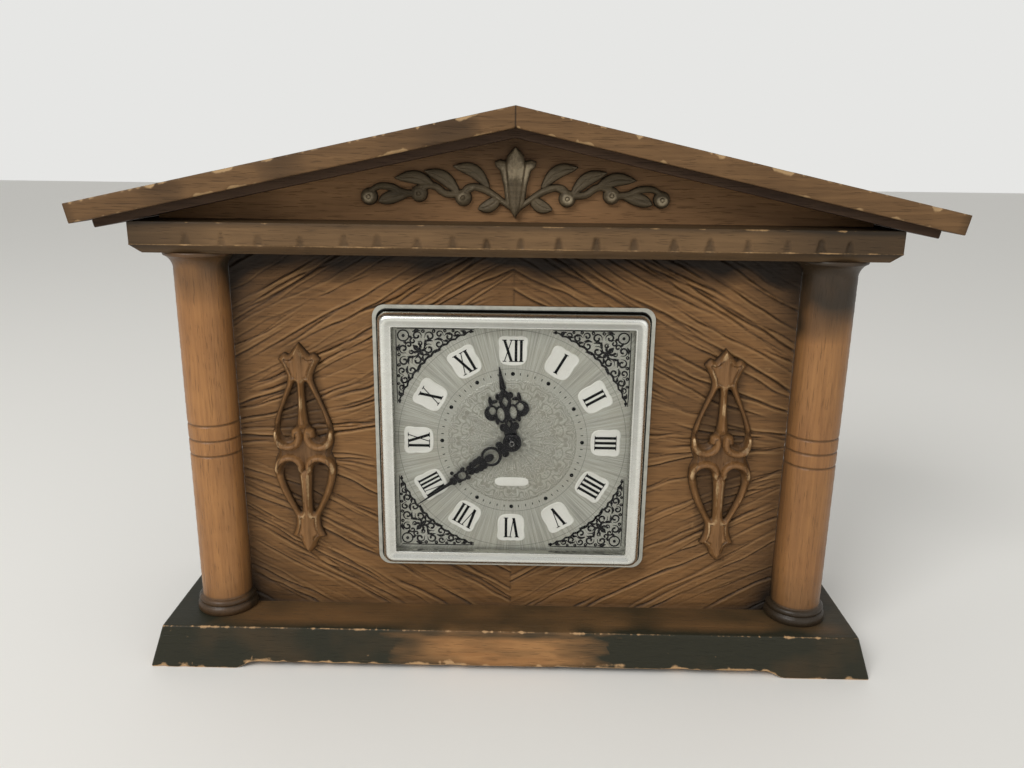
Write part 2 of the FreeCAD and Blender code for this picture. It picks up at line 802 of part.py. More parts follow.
def make_scroll(label, x):
    width, height = S.scroll_half_width, S.scroll_height
    sides = []
    for side in (1, -1):
        points = []
        for run in SCROLL_OUTLINE_SHARES:
            points += smooth(share_points(run, width, height, side))[:-1]
        sides.append(points)
    foot = FreeCAD.Vector(0, 0, 0)
    outline = sides[0] + [foot] + sides[1][:0:-1]
    wires = [Part.makePolygon(outline + outline[:1])]
    for side in (1, -1):
        for run in SCROLL_HOLE_SHARES:
            edge = smooth(share_points(run, width, height, side), True)
            wires.append(Part.makePolygon(edge + edge[:1]))
    foot_z = S.scroll_centre_height - height / 2
    feature(label, prism(wires, S.scroll_thickness), x, face_y, foot_z)


# The spray's middle leaf, stems, leaves and berries on one side: shares of its half width
# across and of its height upwards
PALMETTE_SHARES = [(0.0, 1.0), (0.068, 0.885), (0.078, 0.80), (0.135, 0.79), (0.10, 0.665),
                   (0.062, 0.20), (0.03, 0.10), (0.0, 0.0)]
STEM_SHARES = [
    [(0.035, 0.16), (0.14, 0.33), (0.225, 0.42), (0.30, 0.43), (0.345, 0.33)],
    [(0.27, 0.42), (0.36, 0.335), (0.45, 0.34), (0.52, 0.44), (0.60, 0.44), (0.64, 0.35)],
    [(0.57, 0.43), (0.66, 0.34), (0.73, 0.35), (0.80, 0.42), (0.88, 0.43), (0.94, 0.36)],
]
BERRY_SHARES = [(0.335, 0.285), (0.62, 0.335), (0.944, 0.285)]
LEAF_SHARES = [((0.17, 0.44), (0.393, 0.72)), ((0.36, 0.34), (0.58, 0.65)),
               ((0.52, 0.45), (0.77, 0.55))]
STEM_THICKNESS_SHARE = 0.8
LEAF_THICKNESS_SHARE = 0.7


def make_band(points, width):
    """A strip of even width along a smooth curve, as an outline for prism."""
    curve = Part.BSplineCurve()
    curve.interpolate(points)
    sides = ([], [])
    for i in range(2 * len(points) - 1):
        share = i / (2 * len(points) - 2)
        at = curve.FirstParameter + (curve.LastParameter - curve.FirstParameter) * share
        here, along = curve.value(at), curve.tangent(at)[0]
        away = along.cross(Y_AXIS).normalize() * (width.number / 2)
        sides[0].append(here + away)
        sides[1].append(here - away)
    return Part.makePolygon(sides[0] + sides[1][::-1] + sides[0][:1])


LEAF_EDGE_SHARES = [(0.0, 0.0), (0.22, 0.7), (0.5, 1.0), (0.78, 0.7), (1.0, 0.0)]


def make_leaf(base, tip, width):
    """A pointed leaf from the base to the tip, widest in the middle."""
    along = tip - base
    away = along.cross(Y_AXIS).normalize() * (width.number / 2)
    edge = [base + along * u + away * v for u, v in LEAF_EDGE_SHARES]
    other = [base + along * u - away * v for u, v in LEAF_EDGE_SHARES]
    return Part.makePolygon(edge + other[-2::-1])


def make_spray():
    width, height, thickness = S.spray_half_width, S.spray_height, S.spray_thickness
    middle = [share_points(PALMETTE_SHARES, width, height, side) for side in (1, -1)]
    pieces = [prism([Part.makePolygon(middle[0] + middle[1][-2::-1])], thickness)]
    for side in (1, -1):
        for run in STEM_SHARES:
            band = make_band(share_points(run, width, height, side), S.stem_width)
            pieces.append(prism([band], thickness * STEM_THICKNESS_SHARE))
        for run in LEAF_SHARES:
            ends = share_points(run, width, height, side)
            leaf = make_leaf(ends[0], ends[1], S.leaf_width)
            pieces.append(prism([leaf], thickness * LEAF_THICKNESS_SHARE))
        for u, v in BERRY_SHARES:
            at = S.berry_radius / width
            berry = oval(u * side, v * height.number / width.number, at.number, at.number,
                         width.number)
            pieces.append(prism([berry], thickness))
    shape = pieces[0].multiFuse(pieces[1:])
    feature("pediment_spray", shape, ZERO, face_y + S.gable_setback, gable_z + S.spray_foot_gap)


# Dial insert

def make_insert():
    owner = new_body("insert_tray", ZERO, face_y, hub_z)
    flange = sketch(owner, "tray_flange", "XZ_Plane", [
        round_box_outline(S.flange_size, S.flange_size, S.flange_corner)])
    pad(owner, flange, S.flange_thickness)
    wall = sketch(owner, "tray_wall", "XZ_Plane", [box_outline(tray_size, tray_size)])
    pad(owner, wall, S.tray_depth).Reversed = True
    doc.recompute()
    seat = sketch(owner, "dial_seat", "XZ_Plane", [box_outline(S.bezel_bore, S.bezel_bore)],
                  S.flange_thickness)
    pocket(owner, seat, S.flange_thickness - S.dial_setting + S.dial_thickness)
    floor_back = S.tray_floor + tray_floor_y - face_y
    hollow = sketch(owner, "tray_hollow", "XZ_Plane", [box_outline(tray_inside, tray_inside)],
                    -S.tray_depth)
    pocket(owner, hollow, S.tray_depth - floor_back, False)
    eye = sketch(owner, "tray_eye", "XZ_Plane", [disc_outline(S.tray_hole_radius)])
    pocket(owner, eye)
    reach = plate_size / 2 - S.post_inset
    for side in (-1, 1):
        for level in (-1, 1):
            name = f"tray_post_{side + 1}{level + 1}"
            low = movement_z - hub_z + reach * level - S.tray_post_size / 2
            x = reach * side
            spot = [(across + x, up) for across, up
                    in box_outline(S.tray_post_size, S.tray_post_size, low)]
            post = pad(owner, sketch(owner, name, "XZ_Plane", [spot], -floor_back),
                       S.plate_setting - floor_back)
            post.Reversed = True
    plate("bezel_gasket", [round_box_outline(S.gasket_size, S.gasket_size, S.gasket_corner),
                           box_outline(S.bezel_bore, S.bezel_bore)],
          S.gasket_thickness, ZERO, face_y - S.flange_thickness, hub_z)
    make_bezel()
    inner = S.bezel_bore - S.fitting_gap * 2
    plate("dial_glass", [box_outline(inner, inner)], S.glass_thickness, ZERO,
          bezel_front_y + S.bezel_lip + S.glass_thickness, hub_z)
    plate("dial_plate", [box_outline(inner, inner), disc_outline(S.dial_hole_radius)],
          S.dial_thickness, ZERO, tray_floor_y, hub_z)
    make_clips()


def make_bezel():
    owner = new_body("bezel_frame", ZERO, bezel_back_y, hub_z)
    rim = sketch(owner, "bezel_rim", "XZ_Plane", [
        round_box_outline(S.bezel_size, S.bezel_size, S.bezel_corner)])
    block = pad(owner, rim, S.bezel_height)
    middle = -S.bezel_height.number / 2
    front = edges_where(block, lambda a, b: max(a.y, b.y) < middle)
    dress(owner, "Chamfer", block, front, S.bezel_slope)
    doc.recompute()
    sight = sketch(owner, "bezel_sight", "XZ_Plane", [box_outline(S.bezel_sight, S.bezel_sight)])
    pocket(owner, sight)
    bore = sketch(owner, "bezel_rebate", "XZ_Plane", [box_outline(S.bezel_bore, S.bezel_bore)])
    pocket(owner, bore, S.bezel_height - S.bezel_lip, False)


def make_clips():
    """Four angle clips that hook over the tray's walls and bear on the board's back."""
    inner = (tray_inside / 2).number
    outer = inner + S.tray_wall.number + S.clip_reach.number
    seat = S.panel_thickness.number
    back = S.tray_depth.number
    thick = S.clip_thickness.number
    profile = [(inner, back), (inner, back + thick), (outer, back + thick), (outer, seat),
               (outer - thick, seat), (outer - thick, back), (inner, back)]
    clips = []
    for side in (-1, 1):
        for level in (-1, 1):
            low = level * S.clip_level.number - S.clip_width.number / 2
            points = [FreeCAD.Vector(x * side, y, low) for x, y in profile]
            face = Part.Face(Part.makePolygon(points))
            clips.append(face.extrude(FreeCAD.Vector(0, 0, S.clip_width.number)))
    feature("insert_clips", Part.makeCompound(clips), ZERO, face_y, hub_z)


# Toothed wheels

# Tooth form as shares of the module and of the tooth's pitch
TOOTH_TIP_SHARE = 0.9
TOOTH_ROOT_SHARE = 1.25
TOOTH_TIP_WIDTH_SHARE = 0.16


def gear(teeth, module, thickness, bore, turn=0.0):
    """A spur wheel from its origin plane backwards, turned by a share of a tooth. Each flank
    is a straight line from root to tip, and the tooth is thinned for backlash."""
    count = int(round(teeth.number))
    pitch = module.number * teeth.number / 2
    tip = pitch + module.number * TOOTH_TIP_SHARE
    foot = pitch - module.number * TOOTH_ROOT_SHARE
    tooth = 2 * math.pi / count
    middle_width = 0.5 - S.tooth_backlash_share.number / 2
    lean = (middle_width - TOOTH_TIP_WIDTH_SHARE) / TOOTH_TIP_SHARE
    widths = [(foot, middle_width + lean * TOOTH_ROOT_SHARE), (tip, TOOTH_TIP_WIDTH_SHARE)]
    points = []
    for i in range(count):
        middle = (i + turn) * tooth
        run = [(radius, -share) for radius, share in widths]
        run += [(radius, share) for radius, share in reversed(widths)]
        for radius, share in run:
            angle = middle + share * tooth / 2
            points.append(FreeCAD.Vector(radius * math.cos(angle), 0, radius * math.sin(angle)))
    face = Part.Face(Part.makePolygon(points + points[:1]))
    wheel = face.extrude(FreeCAD.Vector(0, thickness.number, 0))
    if bore is not None:
        wheel = wheel.cut(rod(bore, -thickness, thickness * 2))
    return wheel


def mesh_turn(teeth, own_bearing, partner_teeth, partner_turn):
    """How far, as a share of a tooth, a wheel is turned so that a gap of it faces the tooth
    of its partner; own_bearing runs from the partner's axis to this one's, in degrees."""
    partner_phase = own_bearing / 360 * partner_teeth.number - partner_turn
    own_phase = (own_bearing + 180) / 360 * teeth.number
    return own_phase + partner_phase + 0.5


def moved(shape, y):
    return shape.translated(vector(ZERO, y, ZERO))


# Motion work and going train

CANNON_TURN = 0.0
MINUTE_WHEEL_TURN = mesh_turn(S.minute_wheel_teeth, S.minute_wheel_bearing.number,
                              S.cannon_teeth, CANNON_TURN)
SETTING_TURN = mesh_turn(S.cannon_teeth, S.setting_bearing.number,
                         S.minute_wheel_teeth, MINUTE_WHEEL_TURN)
MINUTE_PINION_TURN = 0.0
HOUR_WHEEL_TURN = mesh_turn(S.hour_wheel_teeth, S.minute_wheel_bearing.number + 180,
                            S.minute_pinion_teeth, MINUTE_PINION_TURN)
CENTRE_WHEEL_TURN = 0.0
THIRD_PINION_TURN = mesh_turn(S.train_pinion_teeth, S.third_bearing.number,
                              S.centre_wheel_teeth, CENTRE_WHEEL_TURN)
THIRD_WHEEL_TURN = 0.0
ESCAPE_PINION_TURN = mesh_turn(S.train_pinion_teeth, S.escape_bearing.number,
                               S.third_wheel_teeth, THIRD_WHEEL_TURN)

hour_hand_back_y = dial_front_y - S.hour_hand_setting
minute_hand_back_y = dial_front_y - S.minute_hand_setting
minute_hand_front_y = minute_hand_back_y - S.hand_thickness
pivot_hole = S.pivot_radius + S.running_gap


def tube(outer, inner, start, end):
    return rod(outer, start, end).cut(rod(inner, start - outer, end + outer))


def make_arbor(label, at):
    """A shaft between the plates with a finer pivot at each end."""
    start = plate_front_y + S.end_shake
    length = S.plate_gap - S.end_shake * 2
    steps = [(S.pivot_radius, S.plate_thickness), (S.train_arbor_radius, length),
             (S.pivot_radius, S.plate_thickness)]
    turned(label, stepped(steps), at[0], start, at[1])


def make_motion_work():
    front = minute_hand_front_y - S.hand_nut_height - S.arbor_end
    steps = [(S.arbor_radius, rear_plate_y - S.end_shake - front),
             (S.pivot_radius, S.plate_thickness)]
    turned("centre_arbor", stepped(steps), ZERO, front, hub_z)
    teeth_y = minute_wheel_y - S.pinion_overlap
    teeth_width = S.wheel_thickness + S.pinion_overlap * 2
    leaves = gear(S.cannon_teeth, S.motion_module, teeth_width, S.arbor_radius, CANNON_TURN)
    sleeve = tube(S.cannon_tube_radius, S.arbor_radius, minute_hand_back_y, teeth_y + teeth_width)
    feature("cannon_pinion", moved(leaves, teeth_y).fuse(sleeve), *HUB_PLACE)
    wheel = gear(S.minute_wheel_teeth, S.motion_module, S.wheel_thickness,
                 S.wheel_post_radius + S.running_gap, MINUTE_WHEEL_TURN)
    leaves = gear(S.minute_pinion_teeth, hour_module,
                  minute_wheel_y - hour_wheel_y + S.pinion_overlap,
                  S.wheel_post_radius + S.running_gap, MINUTE_PINION_TURN)
    shape = moved(wheel, minute_wheel_y).fuse(moved(leaves, hour_wheel_y - S.pinion_overlap))
    feature("minute_wheel", shape, MINUTE_WHEEL[0], ZERO, MINUTE_WHEEL[1])
    post = rod(S.wheel_post_radius, hour_wheel_y - S.pinion_overlap, plate_back_y)
    feature("minute_wheel_post", post, MINUTE_WHEEL[0], ZERO, MINUTE_WHEEL[1])
    bore = S.cannon_tube_radius + S.running_gap
    wheel = gear(S.hour_wheel_teeth, hour_module, S.wheel_thickness, bore, HOUR_WHEEL_TURN)
    sleeve = tube(S.hour_tube_radius, bore, hour_hand_back_y - S.hand_thickness - S.lever_gap,
                  hour_wheel_y + S.wheel_thickness)
    feature("hour_wheel", moved(wheel, hour_wheel_y).fuse(sleeve), *HUB_PLACE)
    leaves = gear(S.cannon_teeth, S.motion_module, teeth_width, None, SETTING_TURN)
    shaft = rod(S.setting_arbor_radius, teeth_y, knob_y + S.knob_height / 2)
    feature("setting_arbor", moved(leaves, teeth_y).fuse(shaft), SETTING[0], ZERO, SETTING[1])


WINDOW_INNER_SHARE = 0.34
WINDOW_OUTER_SHARE = 0.78
WINDOW_ANGLE_SHARE = 0.68
WINDOWS = 4
ESCAPE_UNDERCUT_SHARE = 0.3


def cross_out(wheel, teeth, module):
    """Windows between four arms, each bounded by straight edges, that lighten a wheel."""
    pitch = (module * teeth / 2).number
    half_angle = math.pi / WINDOWS * WINDOW_ANGLE_SHARE
    for turn in range(WINDOWS):
        middle = 2 * math.pi * (turn + 0.5) / WINDOWS
        corners = []
        for share, angle in ((WINDOW_INNER_SHARE, middle - half_angle),
                             (WINDOW_OUTER_SHARE, middle - half_angle),
                             (WINDOW_OUTER_SHARE, middle), (WINDOW_OUTER_SHARE, middle + half_angle),
                             (WINDOW_INNER_SHARE, middle + half_angle)):
            radius = pitch * share
            corners.append(FreeCAD.Vector(radius * math.cos(angle), -pitch,
                                          radius * math.sin(angle)))
        window = Part.Face(Part.makePolygon(corners + corners[:1]))
        wheel = wheel.cut(window.extrude(FreeCAD.Vector(0, 2 * pitch, 0)))
    return wheel


def make_train():
    wheel = gear(S.centre_wheel_teeth, S.train_module, S.wheel_thickness, S.arbor_radius,
                 CENTRE_WHEEL_TURN)
    wheel = cross_out(wheel, S.centre_wheel_teeth, S.train_module)
    feature("centre_wheel", wheel, ZERO, centre_wheel_y, hub_z)
    make_arbor("third_arbor", THIRD)
    width = S.wheel_thickness + S.pinion_overlap * 2
    leaves = gear(S.train_pinion_teeth, S.train_module, width, S.train_arbor_radius,
                  THIRD_PINION_TURN)
    feature("third_pinion", leaves, THIRD[0], centre_wheel_y - S.pinion_overlap, THIRD[1])
    wheel = gear(S.third_wheel_teeth, S.train_module, S.wheel_thickness, S.train_arbor_radius,
                 THIRD_WHEEL_TURN)
    wheel = cross_out(wheel, S.third_wheel_teeth, S.train_module)
    feature("third_wheel", wheel, THIRD[0], third_wheel_y, THIRD[1])
    make_arbor("escape_arbor", ESCAPE)
    leaves = gear(S.train_pinion_teeth, S.train_module, width, S.train_arbor_radius,
                  ESCAPE_PINION_TURN)
    feature("escape_pinion", leaves, ESCAPE[0], third_wheel_y - S.pinion_overlap, ESCAPE[1])
    count = int(S.escape_teeth.number)
    tip, foot = S.escape_radius.number, (S.escape_radius - S.escape_tooth_height).number
    points = []
    for i in range(count):
        for radius, share in ((tip, 0.0), (foot, ESCAPE_UNDERCUT_SHARE)):
            angle = 2 * math.pi * (i + share) / count
            points.append(FreeCAD.Vector(radius * math.cos(angle), 0, radius * math.sin(angle)))
    blank = Part.Face(Part.makePolygon(points + points[:1]))
    wheel = blank.extrude(vector(ZERO, S.escape_wheel_thickness, ZERO))
    wheel = wheel.cut(rod(S.train_arbor_radius, -S.escape_radius, S.escape_radius))
    feature("escape_wheel", wheel, ESCAPE[0], escape_wheel_y, ESCAPE[1])


# Plates, pillars and jewels

def make_plates():
    loose = S.running_gap
    shared = [(HUB, S.arbor_radius + loose, pivot_hole),
              (SETTING, S.setting_arbor_radius + loose, S.setting_arbor_radius + loose),
              (THIRD, pivot_hole, pivot_hole), (ESCAPE, pivot_hole, S.jewel_radius),
              (BALANCE, S.jewel_radius, S.roller_radius + loose)]
    for label, back, choice in (("front_plate", plate_back_y, 1), ("rear_plate", movement_back_y, 2)):
        outlines = [round_box_outline(plate_size, plate_size, S.plate_corner)]
        for hole in shared:
            x, z = hole[0]
            outlines.append(disc_outline(hole[choice], x, z - movement_z))
        if choice == 1:
            x, z = MINUTE_WHEEL
            outlines.append(disc_outline(S.wheel_post_radius, x, z - movement_z))
        plate(label, outlines, S.plate_thickness, ZERO, back, movement_z)
    reach = plate_size / 2 - S.pillar_inset
    pillars, nuts = [], []
    for side in (-1, 1):
        for level in (-1, 1):
            x, z = reach * side, reach * level
            pillars.append(hexagon(S.pillar_radius, plate_back_y, S.plate_gap, x, z))
            nuts.append(hexagon(S.nut_radius, movement_back_y, S.nut_height, x, z))
    feature("plate_pillars", Part.makeCompound(pillars), ZERO, ZERO, movement_z)
    feature("plate_nuts", Part.makeCompound(nuts), ZERO, ZERO, movement_z)
    jewels = []
    for at, start, thickness in ((BALANCE, plate_front_y, S.plate_thickness),
                                 (ESCAPE, rear_plate_y, S.plate_thickness),
                                 (BALANCE, cock_y, S.cock_thickness)):
        ring = tube(S.jewel_radius, pivot_hole, start, start + thickness)
        jewels.append(ring.translated(vector(at[0], ZERO, at[1])))
    feature("pivot_jewels", Part.makeCompound(jewels))


def hexagon(radius, start, height, x, z):
    points = []
    for i in range(7):
        angle = math.pi * i / 3
        points.append(vector(x + radius * math.cos(angle), start, z + radius * math.sin(angle)))
    return Part.Face(Part.makePolygon(points)).extrude(vector(ZERO, height, ZERO))


# Balance, spring, coil and cock

spring_y = movement_back_y + S.spring_level
lever_pin_reach = S.lever_length - S.lever_width / 2
SPRING_STEPS_PER_TURN = 18


def make_balance():
    start = plate_front_y + S.end_shake
    collet = S.spring_width + S.pinion_overlap * 2
    marks = [(S.pivot_radius, S.plate_thickness),
             (S.staff_radius, escape_wheel_y - start - S.plate_thickness),
             (S.roller_radius, S.escape_wheel_thickness),
             (S.staff_radius, spring_y - S.pinion_overlap - escape_wheel_y
              - S.escape_wheel_thickness),
             (S.collet_radius, collet),
             (S.staff_radius, cock_y - S.end_shake - spring_y + S.pinion_overlap - collet),
             (S.pivot_radius, S.cock_thickness)]
    turned("balance_staff", stepped(marks), BALANCE[0], start, BALANCE[1])
    thickness = S.balance_thickness
    inner = S.balance_radius - S.balance_rim
    rim = tube(S.balance_radius, inner, ZERO, thickness)
    reach = (inner + S.balance_rim / 2).number
    width = S.balance_arm.number
    arm = Part.makeBox(reach * 2, thickness.number, width, FreeCAD.Vector(-reach, 0, -width / 2))
    wheel = rim.multiFuse([arm, rod(S.balance_hub_radius, ZERO, thickness)])
    wheel = wheel.cut(rod(S.staff_radius, -thickness, thickness * 2))
    feature("balance_wheel", wheel, BALANCE[0], balance_y, BALANCE[1])
    spots = (S.balance_radius - S.magnet_radius, S.magnet_radius - S.balance_radius)
    magnets = [rod(S.magnet_radius, -S.magnet_height, ZERO, x) for x in spots]
    feature("balance_magnets", Part.makeCompound(magnets), BALANCE[0], balance_y, BALANCE[1])
    coil = tube(S.coil_radius, S.coil_bore, ZERO, S.coil_height)
    feature("drive_coil", coil, BALANCE[0], movement_back_y, BALANCE[1] - S.coil_reach)
    make_hairspring()
    make_cock()


def make_hairspring():
    """A flat strip in short steps along an even spiral, whose outer end lies beside the stud."""
    turns, steps = S.spring_turns.number, SPRING_STEPS_PER_TURN
    inner, outer = S.spring_inner_radius.number, S.spring_outer_radius.number
    half_strip = S.spring_strip.number / 2
    sides = ([], [])
    for i in range(int(turns * steps) + 1):
        share = i / (turns * steps)
        angle = math.pi + 2 * math.pi * turns * (share - 1)
        for side, away in zip(sides, (half_strip, -half_strip)):
            radius = inner + (outer - inner) * share + away
            side.append(FreeCAD.Vector(radius * math.cos(angle), 0, radius * math.sin(angle)))
    outline = Part.makePolygon(sides[0] + sides[1][::-1] + sides[0][:1])
    strip = Part.Face(outline).extrude(vector(ZERO, S.spring_width, ZERO))
    feature("hairspring", strip, BALANCE[0], spring_y, BALANCE[1])


def make_cock():
    width, reach = S.cock_width, S.cock_reach
    bottom = movement_back_y
    back = cock_y + S.cock_thickness
    length = reach + width
    bar = Part.makeBox(length.number, S.cock_thickness.number, width.number,
                       vector(-reach - width / 2, cock_y, -width / 2))
    foot = Part.makeBox(width.number, S.cock_level.number, width.number,
                        vector(-reach - width / 2, bottom, -width / 2))
    boss = rod(S.cock_boss_radius, back, back + S.cock_boss_height)
    stud_x = -S.spring_outer_radius - S.spring_strip / 2 - S.stud_radius - S.spring_stud_gap
    stud = rod(S.stud_radius, spring_y, cock_y, stud_x)
    shape = bar.multiFuse([foot, boss, stud])
    shape = shape.cut(rod(S.jewel_radius, cock_y - width, back + width))
    feature("balance_cock", shape, BALANCE[0], ZERO, BALANCE[1])
    screw = rod(S.pillar_radius, back, back + S.lever_thickness)
    feature("cock_screw", screw, BALANCE[0] - reach, ZERO, BALANCE[1])
    ring = S.cock_boss_radius + S.running_gap
    start = back + S.lever_gap
    end = start + S.lever_thickness
    arm = Part.makeBox(S.lever_length.number, S.lever_thickness.number, S.lever_width.number,
                       vector(ZERO, start, -S.lever_width / 2))
    pin = rod(S.lever_pin_radius, start, end + S.lever_pin_height, lever_pin_reach)
    shape = arm.multiFuse([rod(ring + S.lever_ring, start, end), pin])
    shape = shape.cut(rod(ring, start - ring, end + ring))
    feature("regulator_lever", shape, BALANCE[0], ZERO, BALANCE[1])


# Dust cover, knob, battery and circuit board

# One flute of the knob: (share of its turn, share of its depth)
KNOB_FLUTE_SHARES = [(0.0, 0.0), (0.4, 0.0), (0.55, 1.0), (0.85, 1.0)]

def make_cover():
    owner = new_body("dust_cover", ZERO, cover_back_y, movement_z)
    inner = plate_size + S.cover_gap * 2
    outer = inner + S.cover_wall * 2
    shell = sketch(owner, "cover_block", "XZ_Plane", [box_outline(outer, outer)])
    pad(owner, shell, S.cover_depth)
    doc.recompute()
    hollow = sketch(owner, "cover_hollow", "XZ_Plane", [box_outline(inner, inner)], S.cover_depth)
    pocket(owner, hollow, S.cover_depth - S.cover_wall)
    eye = disc_outline(S.setting_arbor_radius + S.cover_hole_gap, SETTING[0],
                       SETTING[1] - movement_z)
    x = BALANCE[0] + lever_pin_reach
    low = BALANCE[1] - movement_z - S.lever_slot_length / 2
    left, right = x - S.lever_slot_width / 2, x + S.lever_slot_width / 2
    high = low + S.lever_slot_length
    slot = [(left, low), (right, low), (right, high), (left, high)]
    pocket(owner, sketch(owner, "cover_openings", "XZ_Plane", [eye, slot]))


def make_knob():
    """A fluted knob: its edge goes in and out once for each flute."""
    count = int(S.knob_flutes.number)
    points = []
    for i in range(count):
        for share, depth in KNOB_FLUTE_SHARES:
            radius = (S.knob_radius - S.knob_flute_radius * depth).number
            angle = 2 * math.pi * (i + share) / count
            points.append(FreeCAD.Vector(radius * math.cos(angle), 0, radius * math.sin(angle)))
    blank = Part.Face(Part.makePolygon(points + points[:1]))
    shape = blank.extrude(vector(ZERO, S.knob_height, ZERO))
    shape = shape.cut(rod(S.setting_arbor_radius, -S.knob_height, S.knob_height / 2))
    feature("setting_knob", shape, SETTING[0], knob_y, SETTING[1])


tray_back_y = tray_floor_y + S.tray_floor
battery_y = tray_back_y + S.holder_wall + S.battery_gap + S.battery_radius
battery_reach = (S.battery_length + S.battery_cap_height) / 2


def make_battery():
    owner = new_body("battery_holder", ZERO, tray_back_y, holder_z)
    inner_x = (battery_reach + S.battery_gap + S.contact_thickness) * 2
    inner_z = (S.battery_radius + S.battery_gap) * 2
    wall = S.holder_wall * 2
    block = sketch(owner, "holder_block", "XZ_Plane", [box_outline(inner_x + wall, inner_z + wall)])
    pad(owner, block, S.holder_depth).Reversed = True
    doc.recompute()
    hollow = sketch(owner, "holder_hollow", "XZ_Plane", [box_outline(inner_x, inner_z)],
                    -S.holder_depth)
    pocket(owner, hollow, S.holder_depth - S.holder_wall, False)
    plates = []
    for side in (-1, 1):
        x = inner_x / 2 if side < 0 else inner_x / 2 - S.contact_thickness
        corner = vector(x * side if side > 0 else -x, S.holder_wall, -S.contact_width / 2)
        plates.append(Part.makeBox(S.contact_thickness.number,
                                   (S.holder_depth - S.holder_wall).number,
                                   S.contact_width.number, corner))
    feature("battery_contacts", Part.makeCompound(plates), ZERO, tray_back_y, holder_z)
    cell = new_body("battery", ZERO, battery_y, holder_z)
    left, right = -battery_reach, battery_reach - S.battery_cap_height
    r, cap = S.battery_radius, S.battery_cap_radius
    outline = [(left, ZERO), (battery_reach, ZERO), (battery_reach, cap), (right, cap),
               (right, r), (left, r)]
    revolve(cell, sketch(cell, "battery_profile", "XY_Plane", [outline]), "H_Axis")


def make_circuit():
    gap = (S.bezel_bore - S.tray_wall * 2 - plate_size) / 4
    x = -(plate_size / 2) - gap - S.cover_wall
    plate("circuit_board", [box_outline(S.board_width, S.board_height)], S.board_thickness,
          x, tray_back_y + S.board_thickness, movement_z)
    foot = tray_back_y + S.board_thickness
    across, up = S.board_width / 4, S.board_height / 4
    shape = [rod(S.capacitor_radius, foot, foot + S.capacitor_height, -across, up),
             rod(S.transistor_radius, foot, foot + S.transistor_height, across, -up)]
    feature("circuit_parts", Part.makeCompound(shape), x, ZERO, movement_z)


# Hands: outlines and piercings as shares of the hand's length, along it and to its side

# (along, aside, half length, half width) of each solid and each hole; the ones aside are mirrored
HOUR_OVAL_SHARES = [(0.39, 0.080, 0.115, 0.074), (0.44, 0.188, 0.097, 0.093),
                    (0.215, 0.075, 0.055, 0.048), (0.64, 0.072, 0.040, 0.058),
                    (0.575, 0.190, 0.062, 0.024)]
HOUR_HOLE_SHARES = [(0.39, 0.080, 0.082, 0.043), (0.44, 0.190, 0.055, 0.050)]
HOUR_SPINE_SHARES = [(0.0, 0.075), (0.19, 0.085), (0.25, 0.055), (0.44, 0.060), (0.56, 0.085),
                     (0.66, 0.070), (0.735, 0.040), (1.0, 0.008)]
HOUR_DIAMOND_SHARES = [(0.20, 0.245, 0.29, 0.018), (0.49, 0.545, 0.615, 0.036)]
MINUTE_OVAL_SHARES = [(0.105, 0.052, 0.030, 0.026), (0.218, 0.0, 0.092, 0.088),
                      (0.335, 0.046, 0.035, 0.022), (0.39, 0.044, 0.030, 0.022),
                      (0.44, 0.034, 0.028, 0.020), (0.530, 0.0, 0.056, 0.052),
                      (0.500, 0.048, 0.024, 0.020), (0.620, 0.022, 0.028, 0.020)]
MINUTE_HOLE_SHARES = [(0.222, 0.0, 0.066, 0.062), (0.530, 0.0, 0.034, 0.030)]
MINUTE_DOT_SHARES = [(0.250, 0.0, 0.052, 0.034)]
MINUTE_SPINE_SHARES = [(0.0, 0.045), (0.12, 0.040), (0.20, 0.020), (0.30, 0.052), (0.44, 0.036),
                       (0.55, 0.012), (0.62, 0.026), (0.67, 0.014), (1.0, 0.004)]
OVAL_POINTS = 10


def oval(u, v, along, across, length):
    points = []
    for i in range(OVAL_POINTS):
        angle = 2 * math.pi * i / OVAL_POINTS
        x, z = u + along * math.cos(angle), v + across * math.sin(angle)
        points.append(FreeCAD.Vector(x * length, 0, z * length))
    return Part.makePolygon(points + points[:1])


def mirrored(rows):
    """Each row, and again on the other side where it stands aside of the middle."""
    both = []
    for row in rows:
        both.append(row)
        if row[1] > 0:
            both.append((row[0], -row[1]) + tuple(row[2:]))
    return both


def make_hand(label, length, turn, back, bore, spine, solids, holes, diamonds, dots):
    size = length.number
    edge = [(u, v) for u, v in spine] + [(u, -v) for u, v in reversed(spine)]
    points = [FreeCAD.Vector(u * size, 0, v * size) for u, v in edge]
    thick = S.hand_thickness
    pieces = [prism([oval(*row, size)], thick) for row in mirrored(solids)]
    pieces.append(rod(S.hand_collet_radius, -thick, ZERO))
    shape = prism([Part.makePolygon(points + points[:1])], thick).multiFuse(pieces)
    cuts = [prism([oval(*row, size)], thick) for row in mirrored(holes)]
    for first, wide, last, across in diamonds:
        corners = [(first, 0), (wide, across), (last, 0), (wide, -across), (first, 0)]
        corners = [FreeCAD.Vector(u * size, 0, v * size) for u, v in corners]
        cuts.append(prism([Part.makePolygon(corners)], thick))
    shape = shape.cut(Part.makeCompound(cuts))
    if dots:
        shape = shape.multiFuse([prism([oval(*row, size)], thick) for row in dots])
    shape = shape.cut(rod(bore, -thick * 2, thick)).removeSplitter()
    turned_shape = shape.rotated(FreeCAD.Vector(0, 0, 0), Y_AXIS, -turn.number)
    feature(label, Part.makeCompound([turned_shape]), ZERO, back, hub_z)


